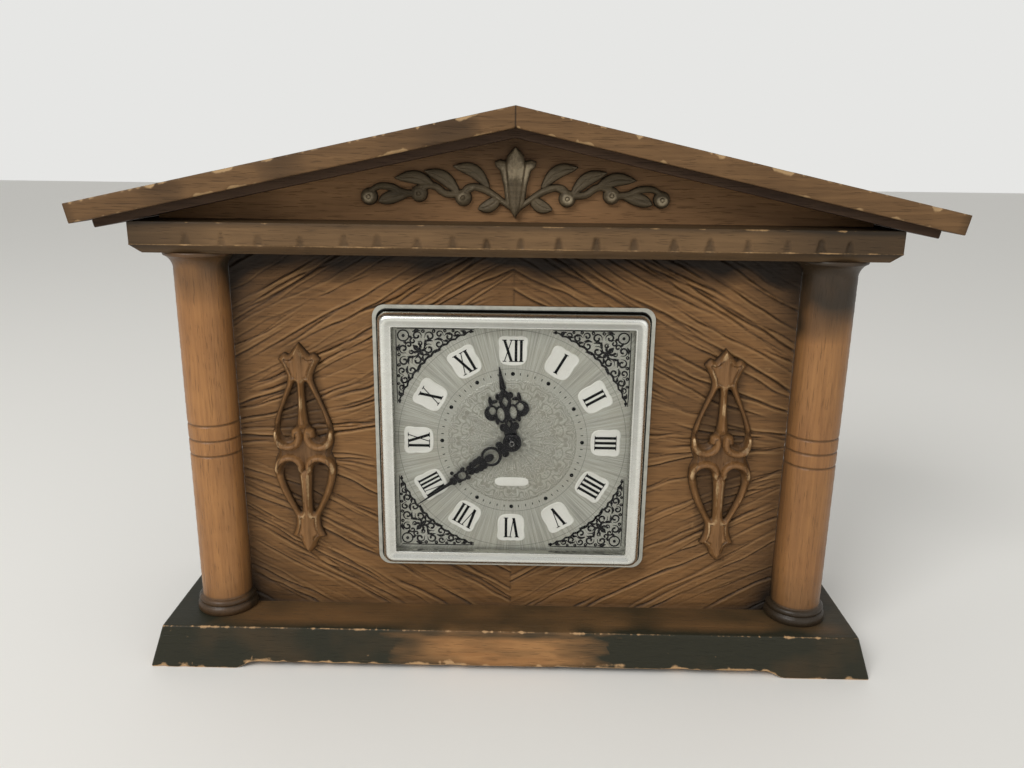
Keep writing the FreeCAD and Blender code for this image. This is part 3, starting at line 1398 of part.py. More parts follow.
def make_hands():
    make_hand("hour_hand", S.hour_hand_length, S.hour_hand_bearing, hour_hand_back_y,
              S.hour_tube_radius, HOUR_SPINE_SHARES, HOUR_OVAL_SHARES, HOUR_HOLE_SHARES,
              HOUR_DIAMOND_SHARES, [])
    make_hand("minute_hand", S.minute_hand_length, S.minute_hand_bearing, minute_hand_back_y,
              S.arbor_radius, MINUTE_SPINE_SHARES, MINUTE_OVAL_SHARES, MINUTE_HOLE_SHARES,
              [], MINUTE_DOT_SHARES)
    nut = tube(S.hand_nut_radius, S.arbor_radius, -S.hand_nut_height, ZERO)
    feature("hand_nut", nut, ZERO, minute_hand_front_y, hub_z)


make_case()
make_scroll("scroll_left", -S.scroll_spacing / 2)
make_scroll("scroll_right", S.scroll_spacing / 2)
make_spray()
make_insert()
make_motion_work()
make_train()
make_plates()
make_balance()
make_cover()
make_knob()
make_battery()
make_circuit()
make_hands()


# Check every object, then write one file for each sub-part

def report_and_write():
    doc.recompute()
    for thing in doc.Objects:
        if "Invalid" in thing.State or "Error" in thing.State:
            raise RuntimeError(f"{thing.Label} did not build: {thing.State}")
    os.makedirs("parts", exist_ok=True)
    for thing in made_nodes:
        shape = thing.Shape
        if shape.isNull() or not shape.isValid():
            raise RuntimeError(f"{thing.Label} has no valid shape")
        shape.exportStep(f"parts/{thing.Label}.step")
    print(f"{len(made_nodes)} sub-parts written")


report_and_write()
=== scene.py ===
import math

import bpy
import numpy as np
from mathutils import Matrix, Vector


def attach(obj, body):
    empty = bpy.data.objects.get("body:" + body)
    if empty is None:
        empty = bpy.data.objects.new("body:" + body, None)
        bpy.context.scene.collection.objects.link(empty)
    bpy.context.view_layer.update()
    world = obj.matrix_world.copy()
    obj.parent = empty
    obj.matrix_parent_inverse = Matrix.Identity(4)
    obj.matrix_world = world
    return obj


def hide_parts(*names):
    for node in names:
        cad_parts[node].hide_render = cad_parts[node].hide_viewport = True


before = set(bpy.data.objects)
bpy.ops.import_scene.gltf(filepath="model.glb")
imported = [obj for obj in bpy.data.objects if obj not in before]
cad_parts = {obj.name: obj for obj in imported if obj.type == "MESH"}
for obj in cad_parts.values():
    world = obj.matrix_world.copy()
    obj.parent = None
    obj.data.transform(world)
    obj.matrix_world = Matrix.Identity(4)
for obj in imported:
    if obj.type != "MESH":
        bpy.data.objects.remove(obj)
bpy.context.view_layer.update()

bl_info = {
    "name": "Temple-front mantel clock",
    "version": (1, 0, 0),
    "blender": (4, 5, 0),
    "location": "3D View > Sidebar > Mantel clock",
    "description": "Carved wood, silvered dial and pierced hands for a gabled mantel clock",
    "category": "Object",
}

# Lengths in this file are millimetres unless a name says otherwise; MM turns them to metres.
MM = 0.001

# Levels and sizes that the pieces share, as in the part's own source. The centres HUB,
# BALANCE, SETTING and COIL are x and z, and BATTERY is y and z.
FACE_Y = -29.6
HUB = (0.0, 113.7)
DIAL_Y = -31.2
PANEL_HALF = 136.9
BASE_TOP = 21.0
TOP_BOARD_Z = 207.5
GABLE_Z = 222.0
ROOF_SLOPE = 0.218
SLANT = math.hypot(1.0, ROOF_SLOPE)
BALANCE = (6.953848, 132.8063)
SETTING = (20.485281, 105.214719)
BATTERY = (-13.4, 70.75)
COIL = (BALANCE[0], BALANCE[1] - 9.3)
GABLE_FACE_Y = -27.6
BACK_Y = 52.4
BOARD_THICK = 12.0
HOLE_HALF = 63.25
CARVING_Z = 112.7
ROOF_THICK = 9.0
ROOF_HALF = 200.0
TOP_HALF = 174.9
BASE_HALF = 181.5
COLUMN_X, COLUMN_Y, COLUMN_RADIUS = 149.4, -31.6, 12.5
SCROLL_X, SCROLL_Z = 104.9, 106.9
GASKET_Y = -31.6
BEZEL_HALF = 65.8
DIAL_HALF = 57.6
HOUR_RING = 46.8
MINUTE_RING = 35.1
HOUR_HAND_Y, MINUTE_HAND_Y, NUT_Y = -32.3, -33.5, -34.0
KNOB_Y = 9.4
SPRING_Y = -1.1

# The photograph's camera: where it stands, its turns in radians, and its focal length and
# the picture's width in pixels
EYE = (4.286, -434.99, 254.375)
PITCH, ROLL, YAW = 0.2676, 0.0124, -0.0116
FOCAL, PICTURE_WIDTH = 849.56, 1024


# Arithmetic that the pieces and finishes share

def linear(code):
    """An sRGB hex colour as linear light: c / 12.92 up to 0.04045, else ((c + 0.055) / 1.055)
    to the power 2.4, for each channel."""
    srgb = np.array([int(code[i:i + 2], 16) for i in (1, 3, 5)]) / 255
    low = srgb / 12.92
    high = ((srgb + 0.055) / 1.055) ** 2.4
    return tuple(np.where(srgb <= 0.04045, low, high)) + (1.0,)


def ramp(t):
    """The value, held between 0 and 1."""
    return np.clip(t, 0, 1)


def tent(t, middle, reach):
    """A ridge: 1 where t is at the middle, falling evenly to 0 at the reach either side."""
    return ramp(1 - np.abs(t - middle) / reach)


def beside(*columns):
    """Arrays and numbers side by side along a new last axis."""
    return np.stack(np.broadcast_arrays(*columns), -1)


def turns(steps):
    """Angles once round a circle in equal steps."""
    return np.arange(steps) / steps * 2 * np.pi


def circle(centre, radius, angle):
    """Points x and z at a radius and angle from a centre; both may change along a line."""
    return beside(centre[0] + radius * np.cos(angle), centre[1] + radius * np.sin(angle))


# Forms: points in millimetres, faces as index arrays, and a value for each point in a mark

class Form:
    def __init__(self, points, faces, **marks):
        self.points = np.asarray(points, float).reshape(-1, 3)
        self.faces = [np.asarray(f, int) for f in faces if len(f)]
        self.marks = {k: np.broadcast_to(v, len(self.points)).astype(float).copy()
                      for k, v in marks.items()}


def join(forms):
    """One form from several: the points in a row, and each face's indices moved on."""
    starts = np.cumsum([0] + [len(f.points) for f in forms])
    points = np.concatenate([f.points for f in forms])
    faces = [face + start for f, start in zip(forms, starts) for face in f.faces]
    names = sorted({name for f in forms for name in f.marks})
    marks = {name: np.concatenate([f.marks.get(name, np.zeros(len(f.points))) for f in forms])
             for name in names}
    return Form(points, faces, **marks)


def volume(form):
    """Signed volume: a sixth of the triple product of each triangle of a fan, added up."""
    total = 0.0
    middle = form.points.mean(0)
    for face in form.faces:
        corners = form.points[face] - middle
        for k in range(1, face.shape[1] - 1):
            total += np.einsum("ij,ij->i", corners[:, 0],
                               np.cross(corners[:, k], corners[:, k + 1])).sum() / 6
    return total


def outward(form):
    """The form with its faces turned so that its volume is positive."""
    if volume(form) < 0:
        form.faces = [face[:, ::-1] for face in form.faces]
    return form


def squares(index):
    """Four-sided faces between the neighbouring rows and columns of a grid of numbers."""
    return beside(index[:-1, :-1], index[:-1, 1:], index[1:, 1:], index[1:, :-1])


def skin(grid, loop=False, **marks):
    """A grid of points as a form: each row is a closed loop, joined to the next. The first
    and last row are filled in, or joined too if the form is itself a loop, such as a ring."""
    rows, columns = grid.shape[:2]
    index = np.arange(rows * columns).reshape(rows, columns)
    index = np.hstack([index, index[:, :1]])
    ends = [index[:1, :-1][:, ::-1], index[-1:, :-1]]
    if loop:
        index, ends = np.vstack([index, index[:1]]), []
    marks = {k: np.broadcast_to(v, (rows, columns)).ravel() for k, v in marks.items()}
    return outward(Form(grid, [squares(index).reshape(-1, 4)] + ends, **marks))


def stacked(rings):
    """Closed outlines of x and z, each with its own y, as a grid of points."""
    return np.stack([beside(flat[:, 0], y, flat[:, 1]) for flat, y in rings])


def used_points(count, faces):
    """The numbers of the points that faces use, and each such point's new number."""
    used = np.unique(np.concatenate([f.ravel() for f in faces]))
    lookup = np.zeros(count, int)
    lookup[used] = np.arange(len(used))
    return used, lookup


def wander(t, step, seed):
    """A smooth random line from -1 to 1: random heights every step, joined by half cosines."""
    heights = np.random.default_rng(seed).uniform(-1, 1, 2048)
    place = np.asarray(t, float) / step + 517
    low = np.floor(place).astype(int)
    ease = (1 - np.cos((place - low) * np.pi)) / 2
    return heights[low % 2048] * (1 - ease) + heights[(low + 1) % 2048] * ease


def mottle(x, z, step, seed):
    """A smooth random field from -1 to 1: random heights on a square lattice, joined by half
    cosines along each direction."""
    table = np.random.default_rng(seed).uniform(-1, 1, (128, 128))
    u, v = np.asarray(x, float) / step + 57, np.asarray(z, float) / step + 57
    i, j = np.floor(u).astype(int), np.floor(v).astype(int)
    a, b = (1 - np.cos((u - i) * np.pi)) / 2, (1 - np.cos((v - j) * np.pi)) / 2
    low = table[i % 128, j % 128] * (1 - a) + table[(i + 1) % 128, j % 128] * a
    high = table[i % 128, (j + 1) % 128] * (1 - a) + table[(i + 1) % 128, (j + 1) % 128] * a
    return low * (1 - b) + high * b


def smooth_run(points, per=8, closed=False):
    """Points along a smooth curve through the given ones: between two of them it is the cubic
    whose slope at each is half the step between that one's neighbours."""
    p = np.asarray(points, float)
    if closed:
        before, after, beyond = np.roll(p, 1, 0), np.roll(p, -1, 0), np.roll(p, -2, 0)
        here = p
    else:
        wide = np.vstack([2 * p[0] - p[1], p, 2 * p[-1] - p[-2]])
        before, here, after, beyond = wide[:-3], wide[1:-2], wide[2:-1], wide[3:]
    t = (np.arange(per) / per)[None, :, None]
    a, b, c, d = (q[:, None, :] for q in (before, here, after, beyond))
    run = 0.5 * (2 * b + (c - a) * t + (2 * a - 5 * b + 4 * c - d) * t ** 2
                 + (3 * b - a - 3 * c + d) * t ** 3)
    run = run.reshape(-1, p.shape[1])
    return run if closed else np.vstack([run, p[-1:]])


def end_inset(place, end, radius):
    """How far a bar's faces draw in near its end: a quarter circle."""
    t = ramp((place - end + radius) / radius)
    return radius * (1 - np.sqrt(ramp(1 - t ** 2)))


def worn_section(corners, cuts, sides, sound, most):
    """Sections of a bar with worn corners, from k corners as columns of y and z and as many
    cuts: each corner becomes the five points of a quadratic arc that starts and ends its cut
    away from it, and side i gets sides[i] more points between its two arcs. Gives y, z, how
    near each point is to a corner's middle, and its corner's cut beyond a sound depth."""
    corners = np.stack(np.broadcast_arrays(*[beside(*pair) for pair in corners]), 1)
    back, ahead = np.roll(corners, 1, 1) - corners, np.roll(corners, -1, 1) - corners
    back = back / np.linalg.norm(back, axis=2, keepdims=True)
    ahead = ahead / np.linalg.norm(ahead, axis=2, keepdims=True)
    start = corners + back * cuts[..., None]
    end = corners + ahead * cuts[..., None]
    columns, edge, bites = [], [], []
    for i in range(corners.shape[1]):
        for t in (0.0, 0.25, 0.5, 0.75, 1.0):
            columns.append((1 - t) ** 2 * start[:, i] + 2 * t * (1 - t) * corners[:, i]
                           + t ** 2 * end[:, i])
            edge.append(1 - abs(t - 0.5) * 1.6)
            bites.append(np.clip(cuts[:, i] - sound, 0, most))
        nxt = (i + 1) % corners.shape[1]
        for t in np.arange(1, sides[i] + 1) / (sides[i] + 1):
            columns.append(end[:, i] * (1 - t) + start[:, nxt] * t)
            edge.append(0.0)
            bites.append(np.zeros(len(cuts)))
    section = np.stack(columns, 1)
    return section[..., 0], section[..., 1], np.array(edge), np.stack(bites, 1)


def chips(t, seed, size, step, keep=0.45):
    """Sudden bites along an edge: a random line, cut off below keep and scaled to size."""
    coarse = np.clip(wander(t, step, seed) - keep, 0, None) / (1 - keep)
    fine = np.clip(wander(t, step * 0.31, seed + 1) - keep, 0, None) / (1 - keep)
    return size * (coarse + 0.45 * fine)


# Pierced flat pieces: the outline is where a field is zero, cut out of a grid of squares

SQUARE_CASES = {
    1: ["a p s"], 2: ["b q p"], 3: ["a b q s"], 4: ["c r q"], 5: ["a p q c r s"],
    6: ["b c r p"], 7: ["a b c r s"], 8: ["d s r"], 9: ["a p r d"], 10: ["b q r d s p"],
    11: ["a b q r d"], 12: ["c d s q"], 13: ["a p q c d"], 14: ["b c d s p"], 15: ["a b c d"]}


def cut_out(field, x0, x1, z0, z1, cell):
    """Marching squares. field(x, z) gives (distance inside, height). Corners a b c d and
    edge points p q r s of each square, bottom, right, top and left, make the faces of its
    case. Gives the flat points, the faces and the pairs of points along the outline."""
    xs = np.arange(x0, x1 + cell, cell)
    zs = np.arange(z0, z1 + cell, cell)
    x, z = np.meshgrid(xs, zs)
    depth = field(x.ravel(), z.ravel())[0].reshape(x.shape)
    rows, columns = x.shape
    count = rows * columns
    number = np.arange(count).reshape(rows, columns)
    level = count + np.arange(rows * (columns - 1)).reshape(rows, columns - 1)
    upright = count + level.size + np.arange((rows - 1) * columns).reshape(rows - 1, columns)

    def crossing(d0, d1, p0, p1):
        share = np.where(d0 * d1 < 0, d0 / np.where(d0 == d1, 1, d0 - d1), 0.5)
        return p0 + (p1 - p0) * share

    flat = np.concatenate([beside(x, z).reshape(-1, 2),
                           beside(crossing(depth[:, :-1], depth[:, 1:], x[:, :-1], x[:, 1:]),
                                  z[:, :-1]).reshape(-1, 2),
                           beside(x[:-1], crossing(depth[:-1], depth[1:], z[:-1],
                                                   z[1:])).reshape(-1, 2)])
    inside = depth > 0
    code = (inside[:-1, :-1] * 1 + inside[:-1, 1:] * 2 + inside[1:, 1:] * 4
            + inside[1:, :-1] * 8)
    names = {"a": number[:-1, :-1], "b": number[:-1, 1:], "c": number[1:, 1:],
             "d": number[1:, :-1], "p": level[:-1], "q": upright[:, 1:], "r": level[1:],
             "s": upright[:, :-1]}
    faces, rim = [], []
    for case, shapes in SQUARE_CASES.items():
        here = code == case
        for letters in shapes:
            letters = letters.split()
            faces.append(np.stack([names[k][here] for k in letters], -1))
            for one, two in zip(letters, letters[1:] + letters[:1]):
                if one in "pqrs" and two in "pqrs":
                    rim.append(beside(names[one][here], names[two][here]))
    faces = [f for f in faces if len(f)]
    rim = np.concatenate(rim)
    used, lookup = used_points(len(flat), faces)
    return flat[used], [lookup[f] for f in faces], lookup[rim]


def relief(field, x0, x1, z0, z1, cell, back):
    """A carved flat piece: the cut-out's points stand in front of the level back by the
    field's height, the same points on the level close it, and walls join the two."""
    flat, faces, rim = cut_out(field, x0, x1, z0, z1, cell)
    depth, height = field(flat[:, 0], flat[:, 1])
    front = beside(flat[:, 0], back - height, flat[:, 1])
    rear = beside(flat[:, 0], back, flat[:, 1])
    count = len(flat)
    walls = beside(rim[:, 1], rim[:, 0], rim[:, 0] + count, rim[:, 1] + count)
    made = Form(np.vstack([front, rear]),
                faces + [f[:, ::-1] + count for f in faces] + [walls])
    made.inside = np.tile(depth, 2)
    return made


def to_edges(x, z, a, b):
    """For each point and each straight edge from a to b: how far along the edge the nearest
    place is, 0 to 1, and the distance to it."""
    edge = b - a
    px, pz = x[:, None] - a[:, 0], z[:, None] - a[:, 1]
    along = ramp((px * edge[:, 0] + pz * edge[:, 1]) / np.maximum((edge ** 2).sum(1), 1e-9))
    return along, np.hypot(px - along * edge[:, 0], pz - along * edge[:, 1])


def to_outline(x, z, outline):
    """Distance from points to a closed polygon, positive inside: the nearest of its edges,
    and a point is inside if an upward ray crosses the edges an odd number of times."""
    a = np.asarray(outline, float)
    b = np.roll(a, -1, 0)
    gap = to_edges(x, z, a, b)[1].min(1)
    spans = (a[:, 0] > x[:, None]) != (b[:, 0] > x[:, None])
    run = np.where(b[:, 0] == a[:, 0], 1e-9, b[:, 0] - a[:, 0])
    above = a[:, 1] + (x[:, None] - a[:, 0]) / run * (b[:, 1] - a[:, 1]) > z[:, None]
    return np.where((spans & above).sum(1) % 2 == 1, gap, -gap)


def to_path(x, z, path, widths):
    """How deep points lie in a band along a path, whose half width changes from point to
    point: the half width there, less the distance to the path; and that distance and that
    half width."""
    along, gap = to_edges(x, z, path[:-1], path[1:])
    width = widths[:-1] + (widths[1:] - widths[:-1]) * along
    best = (width - gap).argmax(1)
    pick = np.arange(len(x))
    return (width - gap)[pick, best], gap[pick, best], width[pick, best]


def rounded(depth, radius):
    """Height of a rounded edge: a quarter circle that rises over the radius."""
    t = ramp(depth / radius)
    return radius * np.sqrt(ramp(1 - (1 - t) ** 2))


# Pieces into the scene

def add_piece(name, form, body, finish, stands_for=(), crease=38):
    """A form as a piece of the clock, smooth up to the crease angle, riding on its body. It
    stands for the CAD nodes named."""
    mesh = bpy.data.meshes.new(name)
    corners = np.concatenate([f.ravel() for f in form.faces])
    sizes = np.concatenate([np.full(len(f), f.shape[1]) for f in form.faces])
    mesh.vertices.add(len(form.points))
    mesh.vertices.foreach_set("co", (form.points * MM).astype(np.float32).ravel())
    mesh.loops.add(len(corners))
    mesh.loops.foreach_set("vertex_index", corners.astype(np.int32))
    mesh.polygons.add(len(sizes))
    mesh.polygons.foreach_set("loop_start", (np.cumsum(sizes) - sizes).astype(np.int32))
    mesh.update(calc_edges=True)
    mesh.validate()
    for mark, values in form.marks.items():
        layer = mesh.attributes.new(mark, "FLOAT", "POINT")
        layer.data.foreach_set("value", values.astype(np.float32))
    mesh.shade_smooth()
    mesh.set_sharp_from_angle(angle=math.radians(crease))
    thing = bpy.data.objects.new(name, mesh)
    bpy.context.scene.collection.objects.link(thing)
    mesh.materials.append(finishes[finish])
    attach(thing, body)
    if stands_for:
        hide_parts(*stands_for)
    return thing


def paint(table):
    """Give CAD nodes their finish: a table from each finish to its nodes' names."""
    for finish, names in table.items():
        for name in names.split():
            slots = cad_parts[name].data.materials
            slots.clear()
            slots.append(finishes[finish])


# Finishes

def add(tree, kind, sockets=None, out=0):
    """Add a node and give one of its outputs. A second word in its kind is its operation or
    attribute, and a Mix mixes colours. Each of its sockets takes a number, a hex colour or
    another node's output."""
    kind, _, choice = kind.partition(" ")
    made = tree.nodes.new("ShaderNode" + kind)
    if kind == "Mix":
        made.data_type, out = "RGBA", 2
    elif kind == "Attribute":
        made.attribute_name, out = choice, "Fac"
    elif choice:
        made.operation = choice
    for key, value in (sockets or {}).items():
        if isinstance(value, bpy.types.NodeSocket):
            tree.links.new(value, made.inputs[key])
        else:
            made.inputs[key].default_value = linear(value) if isinstance(value, str) else value
    return made.outputs[out] if len(made.outputs) else made


finishes = {}


def start_finish(name, **sockets):
    """A material with its shader, whose uniform values go on the shader's own sockets."""
    made = bpy.data.materials.new(name)
    made.use_nodes = True
    tree = made.node_tree
    tree.nodes.clear()
    values = {key.replace("_", " "): value for key, value in sockets.items()}
    shader = add(tree, "BsdfPrincipled", values).node
    add(tree, "OutputMaterial", {"Surface": shader.outputs[0]})
    finishes[name] = made
    return tree, shader


def surface(tree, shader, colour, height, depth, rough=None):
    """Lead a colour, a bump of so many millimetres and, if it changes from place to place,
    the roughness to the shader."""
    rise = add(tree, "Bump", {"Distance": depth * MM, "Height": height})
    for socket, source in (("Base Color", colour), ("Roughness", rough), ("Normal", rise)):
        if source is not None:
            tree.links.new(source, shader.inputs[socket])


# Pattern repeats per metre along X, Y and Z, with the grain along one of them
GRAIN_SCALES = {"x": (28, 620, 620), "y": (620, 28, 620), "z": (620, 620, 28)}


def stained_wood(name, dark, light, bare, dark_stain_and_shade, grain, rough, coat=0.0, roof_shade_heights=None):
    """Wood under a rubbed stain. The grain is drawn 1.6 mm apart and 36 mm long, as coarse
    pine shows it. Stain lies dark in cuts (mark cavity); where that mark is below zero the wood
    is painted pale, a painted highlight on raised burrs and wear in nicks. It is rubbed back to
    pale wood on edges (mark wear), which on some pieces is also a painted highlight. The mark
    shade lays the dark colour over it: sprayed stain on some pieces, painted shade on others.
    Between two heights, if given, it darkens upwards as painted shade under the roof."""
    tree, shader = start_finish(name, Coat_Weight=coat, Coat_Roughness=0.35,
                                Specular_IOR_Level=0.22)
    where = add(tree, "TexCoord", out="Object")
    stretched = add(tree, "Mapping", {"Vector": where, "Scale": GRAIN_SCALES[grain]})
    lines = add(tree, "TexNoise", {"Vector": stretched, "Scale": 1.0, "Detail": 4.0,
                                   "Roughness": 0.6, "Distortion": 0.3})
    cloud = add(tree, "TexNoise", {"Vector": where, "Scale": 22.0, "Detail": 3.0,
                                   "Roughness": 0.6})
    flecks = add(tree, "TexNoise", {"Vector": stretched, "Scale": 4.0, "Detail": 1.0})
    speck = add(tree, "TexNoise", {"Vector": where, "Scale": 700.0, "Detail": 3.0,
                                   "Roughness": 0.7})
    tone = add(tree, "Math MULTIPLY_ADD", {0: cloud, 1: 0.6,
                                           2: add(tree, "Math MULTIPLY", {0: lines, 1: 0.55})})
    share = add(tree, "MapRange", {"Value": tone, "From Min": 0.32, "From Max": 0.8})
    colour = add(tree, "Mix", {0: share, 6: dark, 7: light})
    pores = add(tree, "MapRange", {"Value": flecks, "From Min": 0.36, "From Max": 0.28})
    share = add(tree, "Math MULTIPLY", {0: pores, 1: 0.35})
    colour = add(tree, "Mix", {0: share, 6: colour, 7: dark_stain_and_shade})
    cavity = add(tree, "Attribute cavity")
    share = add(tree, "MapRange", {"Value": cavity, "To Max": 0.88})
    colour = add(tree, "Mix", {0: share, 6: colour, 7: dark_stain_and_shade})
    # Below zero the mark cavity turns the wood pale: a painted highlight on the carving's
    # burrs, and wear in its nicks
    share = add(tree, "MapRange", {"Value": cavity, "From Max": -1.0, "To Max": 0.55})
    colour = add(tree, "Mix", {0: share, 6: colour, 7: bare})
    # The mark shade lays on the dark colour: sprayed stain on some pieces, painted shade on
    # others
    shade = add(tree, "Attribute shade")
    # Painted shade under the roof: darker upwards between the two heights
    if roof_shade_heights:
        height = add(tree, "SeparateXYZ", {0: where}, 2)
        roof_shade = add(tree, "MapRange", {"Value": height, "From Min": roof_shade_heights[0] * MM,
                                       "From Max": roof_shade_heights[1] * MM, "To Max": 0.8})
        shade = add(tree, "Math ADD", {0: shade, 1: roof_shade})
    ragged = add(tree, "Math MULTIPLY_ADD", {0: cloud, 1: 0.5, 2: shade})
    ragged = add(tree, "MapRange", {"Value": ragged, "From Min": 0.25, "From Max": 1.25})
    near = add(tree, "MapRange", {"Value": shade, "From Max": 0.25})
    share = add(tree, "Math MULTIPLY", {0: ragged, 1: near})
    colour = add(tree, "Mix", {0: share, 6: colour, 7: dark_stain_and_shade})
    wear = add(tree, "Attribute wear")
    rubbed = add(tree, "Math MULTIPLY_ADD", {0: speck, 1: 0.55, 2: wear})
    rubbed = add(tree, "MapRange", {"Value": rubbed, "From Min": 0.61, "From Max": 0.99,
                                    "To Max": 0.9})
    near = add(tree, "MapRange", {"Value": wear, "From Min": 0.04, "From Max": 0.22})
    share = add(tree, "Math MULTIPLY", {0: rubbed, 1: near})
    colour = add(tree, "Mix", {0: share, 6: colour, 7: bare})
    dry = add(tree, "MapRange", {"Value": tone, "From Min": 0.3, "From Max": 0.85,
                                 "To Min": rough + 0.1, "To Max": rough - 0.08})
    height = add(tree, "Math MULTIPLY_ADD", {0: pores, 1: -0.6, 2: lines})
    surface(tree, shader, colour, height, 0.18, dry)


def moulded_plastic(name, colour, dull, rough, alpha=1.0, grit=1400.0, depth=0.012,
                    shine=0.5):
    """Moulded plastic, a coat of paint or polished stone: a fine texture, grit to a metre,
    and slight clouding 16 mm wide."""
    tree, shader = start_finish(name, Alpha=alpha, IOR=1.5, Specular_IOR_Level=shine)
    where = add(tree, "TexCoord", out="Object")
    fine = add(tree, "TexNoise", {"Vector": where, "Scale": grit, "Detail": 2.0})
    cloud = add(tree, "TexNoise", {"Vector": where, "Scale": 60.0, "Detail": 3.0,
                                   "Roughness": 0.6})
    share = add(tree, "MapRange", {"Value": cloud, "From Min": 0.35, "From Max": 0.75})
    tint = add(tree, "Mix", {0: share, 6: colour, 7: dull})
    worn = add(tree, "MapRange", {"Value": cloud, "From Min": 0.3, "From Max": 0.8,
                                  "To Min": rough * 0.85, "To Max": rough * 1.15})
    surface(tree, shader, tint, fine, depth, worn)


def worked_metal(name, colour, dull, rough, lines=(900, 900, 900), depth=0.01, spots=0.25,
                 metallic=1.0):
    """Metal with fine working lines, lines per metre along each axis, a depth in
    millimetres, and faint dull spots about 6 mm wide."""
    tree, shader = start_finish(name, Metallic=metallic)
    where = add(tree, "TexCoord", out="Object")
    stretched = add(tree, "Mapping", {"Vector": where, "Scale": lines})
    streak = add(tree, "TexNoise", {"Vector": stretched, "Scale": 1.0, "Detail": 3.0,
                                    "Roughness": 0.6})
    spot = add(tree, "TexNoise", {"Vector": where, "Scale": 160.0, "Detail": 3.0,
                                  "Roughness": 0.65})
    share = add(tree, "MapRange", {"Value": spot, "From Min": 0.45, "From Max": 0.72,
                                   "To Max": spots * 2})
    tint = add(tree, "Mix", {0: share, 6: colour, 7: dull})
    # The mark cavity darkens the metal: on the bezel, a painted reflection tone across its
    # bevel and painted shade at its edges
    painted_shading = add(tree, "Attribute cavity")
    tint = add(tree, "Mix", {0: painted_shading, 6: tint, 7: "#151613"})
    worn = add(tree, "Math MULTIPLY_ADD", {0: spot, 1: 0.5, 2: streak})
    worn = add(tree, "MapRange", {"Value": worn, "From Min": 0.4, "From Max": 1.1,
                                  "To Min": rough * 0.75, "To Max": rough * 1.35})
    surface(tree, shader, tint, streak, depth, worn)


def round_centre(tree, centre):
    """Distance in millimetres from a centre, seen from the front, and the angle round it in
    radians clockwise from straight up."""
    place = add(tree, "SeparateXYZ", {0: add(tree, "TexCoord", out="Object")}).node
    x = add(tree, "Math MULTIPLY_ADD", {0: place.outputs[0], 1: 1 / MM, 2: -centre[0]})
    z = add(tree, "Math MULTIPLY_ADD", {0: place.outputs[2], 1: 1 / MM, 2: -centre[1]})
    flat = add(tree, "CombineXYZ", {0: x, 1: z})
    reach = add(tree, "VectorMath LENGTH", {0: flat}, "Value")
    return reach, add(tree, "Math ARCTAN2", {0: x, 1: z})


def silvered_dial(name, pale, grey, engraved):
    """Silvered brass brushed outwards from the centre, in rays about 0.6 degrees wide, painted
    paler and greyer in turn as a painted sheen. Where engraved, fine curling lines 1 mm apart
    cover it, the same in each twelfth of the circle and mirrored within it."""
    tree, shader = start_finish(name, Metallic=0.5)
    reach, turn = round_centre(tree, HUB)
    spokes = add(tree, "CombineXYZ", {0: add(tree, "Math MULTIPLY", {0: turn, 1: 98.0}),
                                      1: add(tree, "Math MULTIPLY", {0: reach, 1: 0.03})})
    ray = add(tree, "TexNoise", {"Vector": spokes, "Scale": 1.0, "Detail": 3.0,
                                 "Roughness": 0.7})
    cloud = add(tree, "TexNoise", {"Vector": add(tree, "TexCoord", out="Object"), "Scale": 35.0,
                                   "Detail": 3.0, "Roughness": 0.6})
    share = add(tree, "MapRange", {"Value": ray, "From Min": 0.3, "From Max": 0.72})
    colour = add(tree, "Mix", {0: share, 6: grey, 7: pale})
    share = add(tree, "MapRange", {"Value": cloud, "From Min": 0.45, "From Max": 0.8,
                                   "To Max": 0.35})
    colour = add(tree, "Mix", {0: share, 6: colour, 7: "#A39C86"})
    height, depth = ray, 0.02
    if engraved:
        twelfths = add(tree, "Math MULTIPLY", {0: turn, 1: 12 / math.pi})
        fold = add(tree, "Math PINGPONG", {0: twelfths, 1: 1.0})
        spot = add(tree, "CombineXYZ", {0: add(tree, "Math MULTIPLY", {0: reach, 1: 0.16}),
                                        1: fold})
        curl = add(tree, "TexNoise", {"Vector": spot, "Scale": 1.0, "Detail": 1.0,
                                      "Roughness": 0.4, "Distortion": 0.5})
        lines = add(tree, "Math SINE", {0: add(tree, "Math MULTIPLY", {0: curl, 1: 88.0})})
        share = add(tree, "MapRange", {"Value": lines, "From Min": -0.3, "From Max": 0.8,
                                       "To Max": 0.55})
        colour = add(tree, "Mix", {0: share, 6: colour, 7: "#7C7A6C"})
        height = add(tree, "Math MULTIPLY", {0: lines, 1: -1.0})
        depth = 0.06
    worn = add(tree, "MapRange", {"Value": ray, "From Min": 0.25, "From Max": 0.75,
                                  "To Min": 0.3, "To Max": 0.55})
    surface(tree, shader, colour, height, depth, worn)


def felted_board(name):
    """Pressed fibre board: no grain, a fine felted face with soft brown clouding."""
    tree, shader = start_finish(name, Roughness=0.75, Specular_IOR_Level=0.25)
    where = add(tree, "TexCoord", out="Object")
    felt = add(tree, "TexNoise", {"Vector": where, "Scale": 420.0, "Detail": 4.0,
                                  "Roughness": 0.7})
    cloud = add(tree, "TexNoise", {"Vector": where, "Scale": 18.0, "Detail": 3.0,
                                   "Roughness": 0.6})
    tone = add(tree, "Math ADD", {0: felt, 1: cloud})
    share = add(tree, "MapRange", {"Value": tone, "From Min": 0.7, "From Max": 1.3})
    colour = add(tree, "Mix", {0: share, 6: "#543B25", 7: "#7E6040"})
    surface(tree, shader, colour, felt, 0.06)


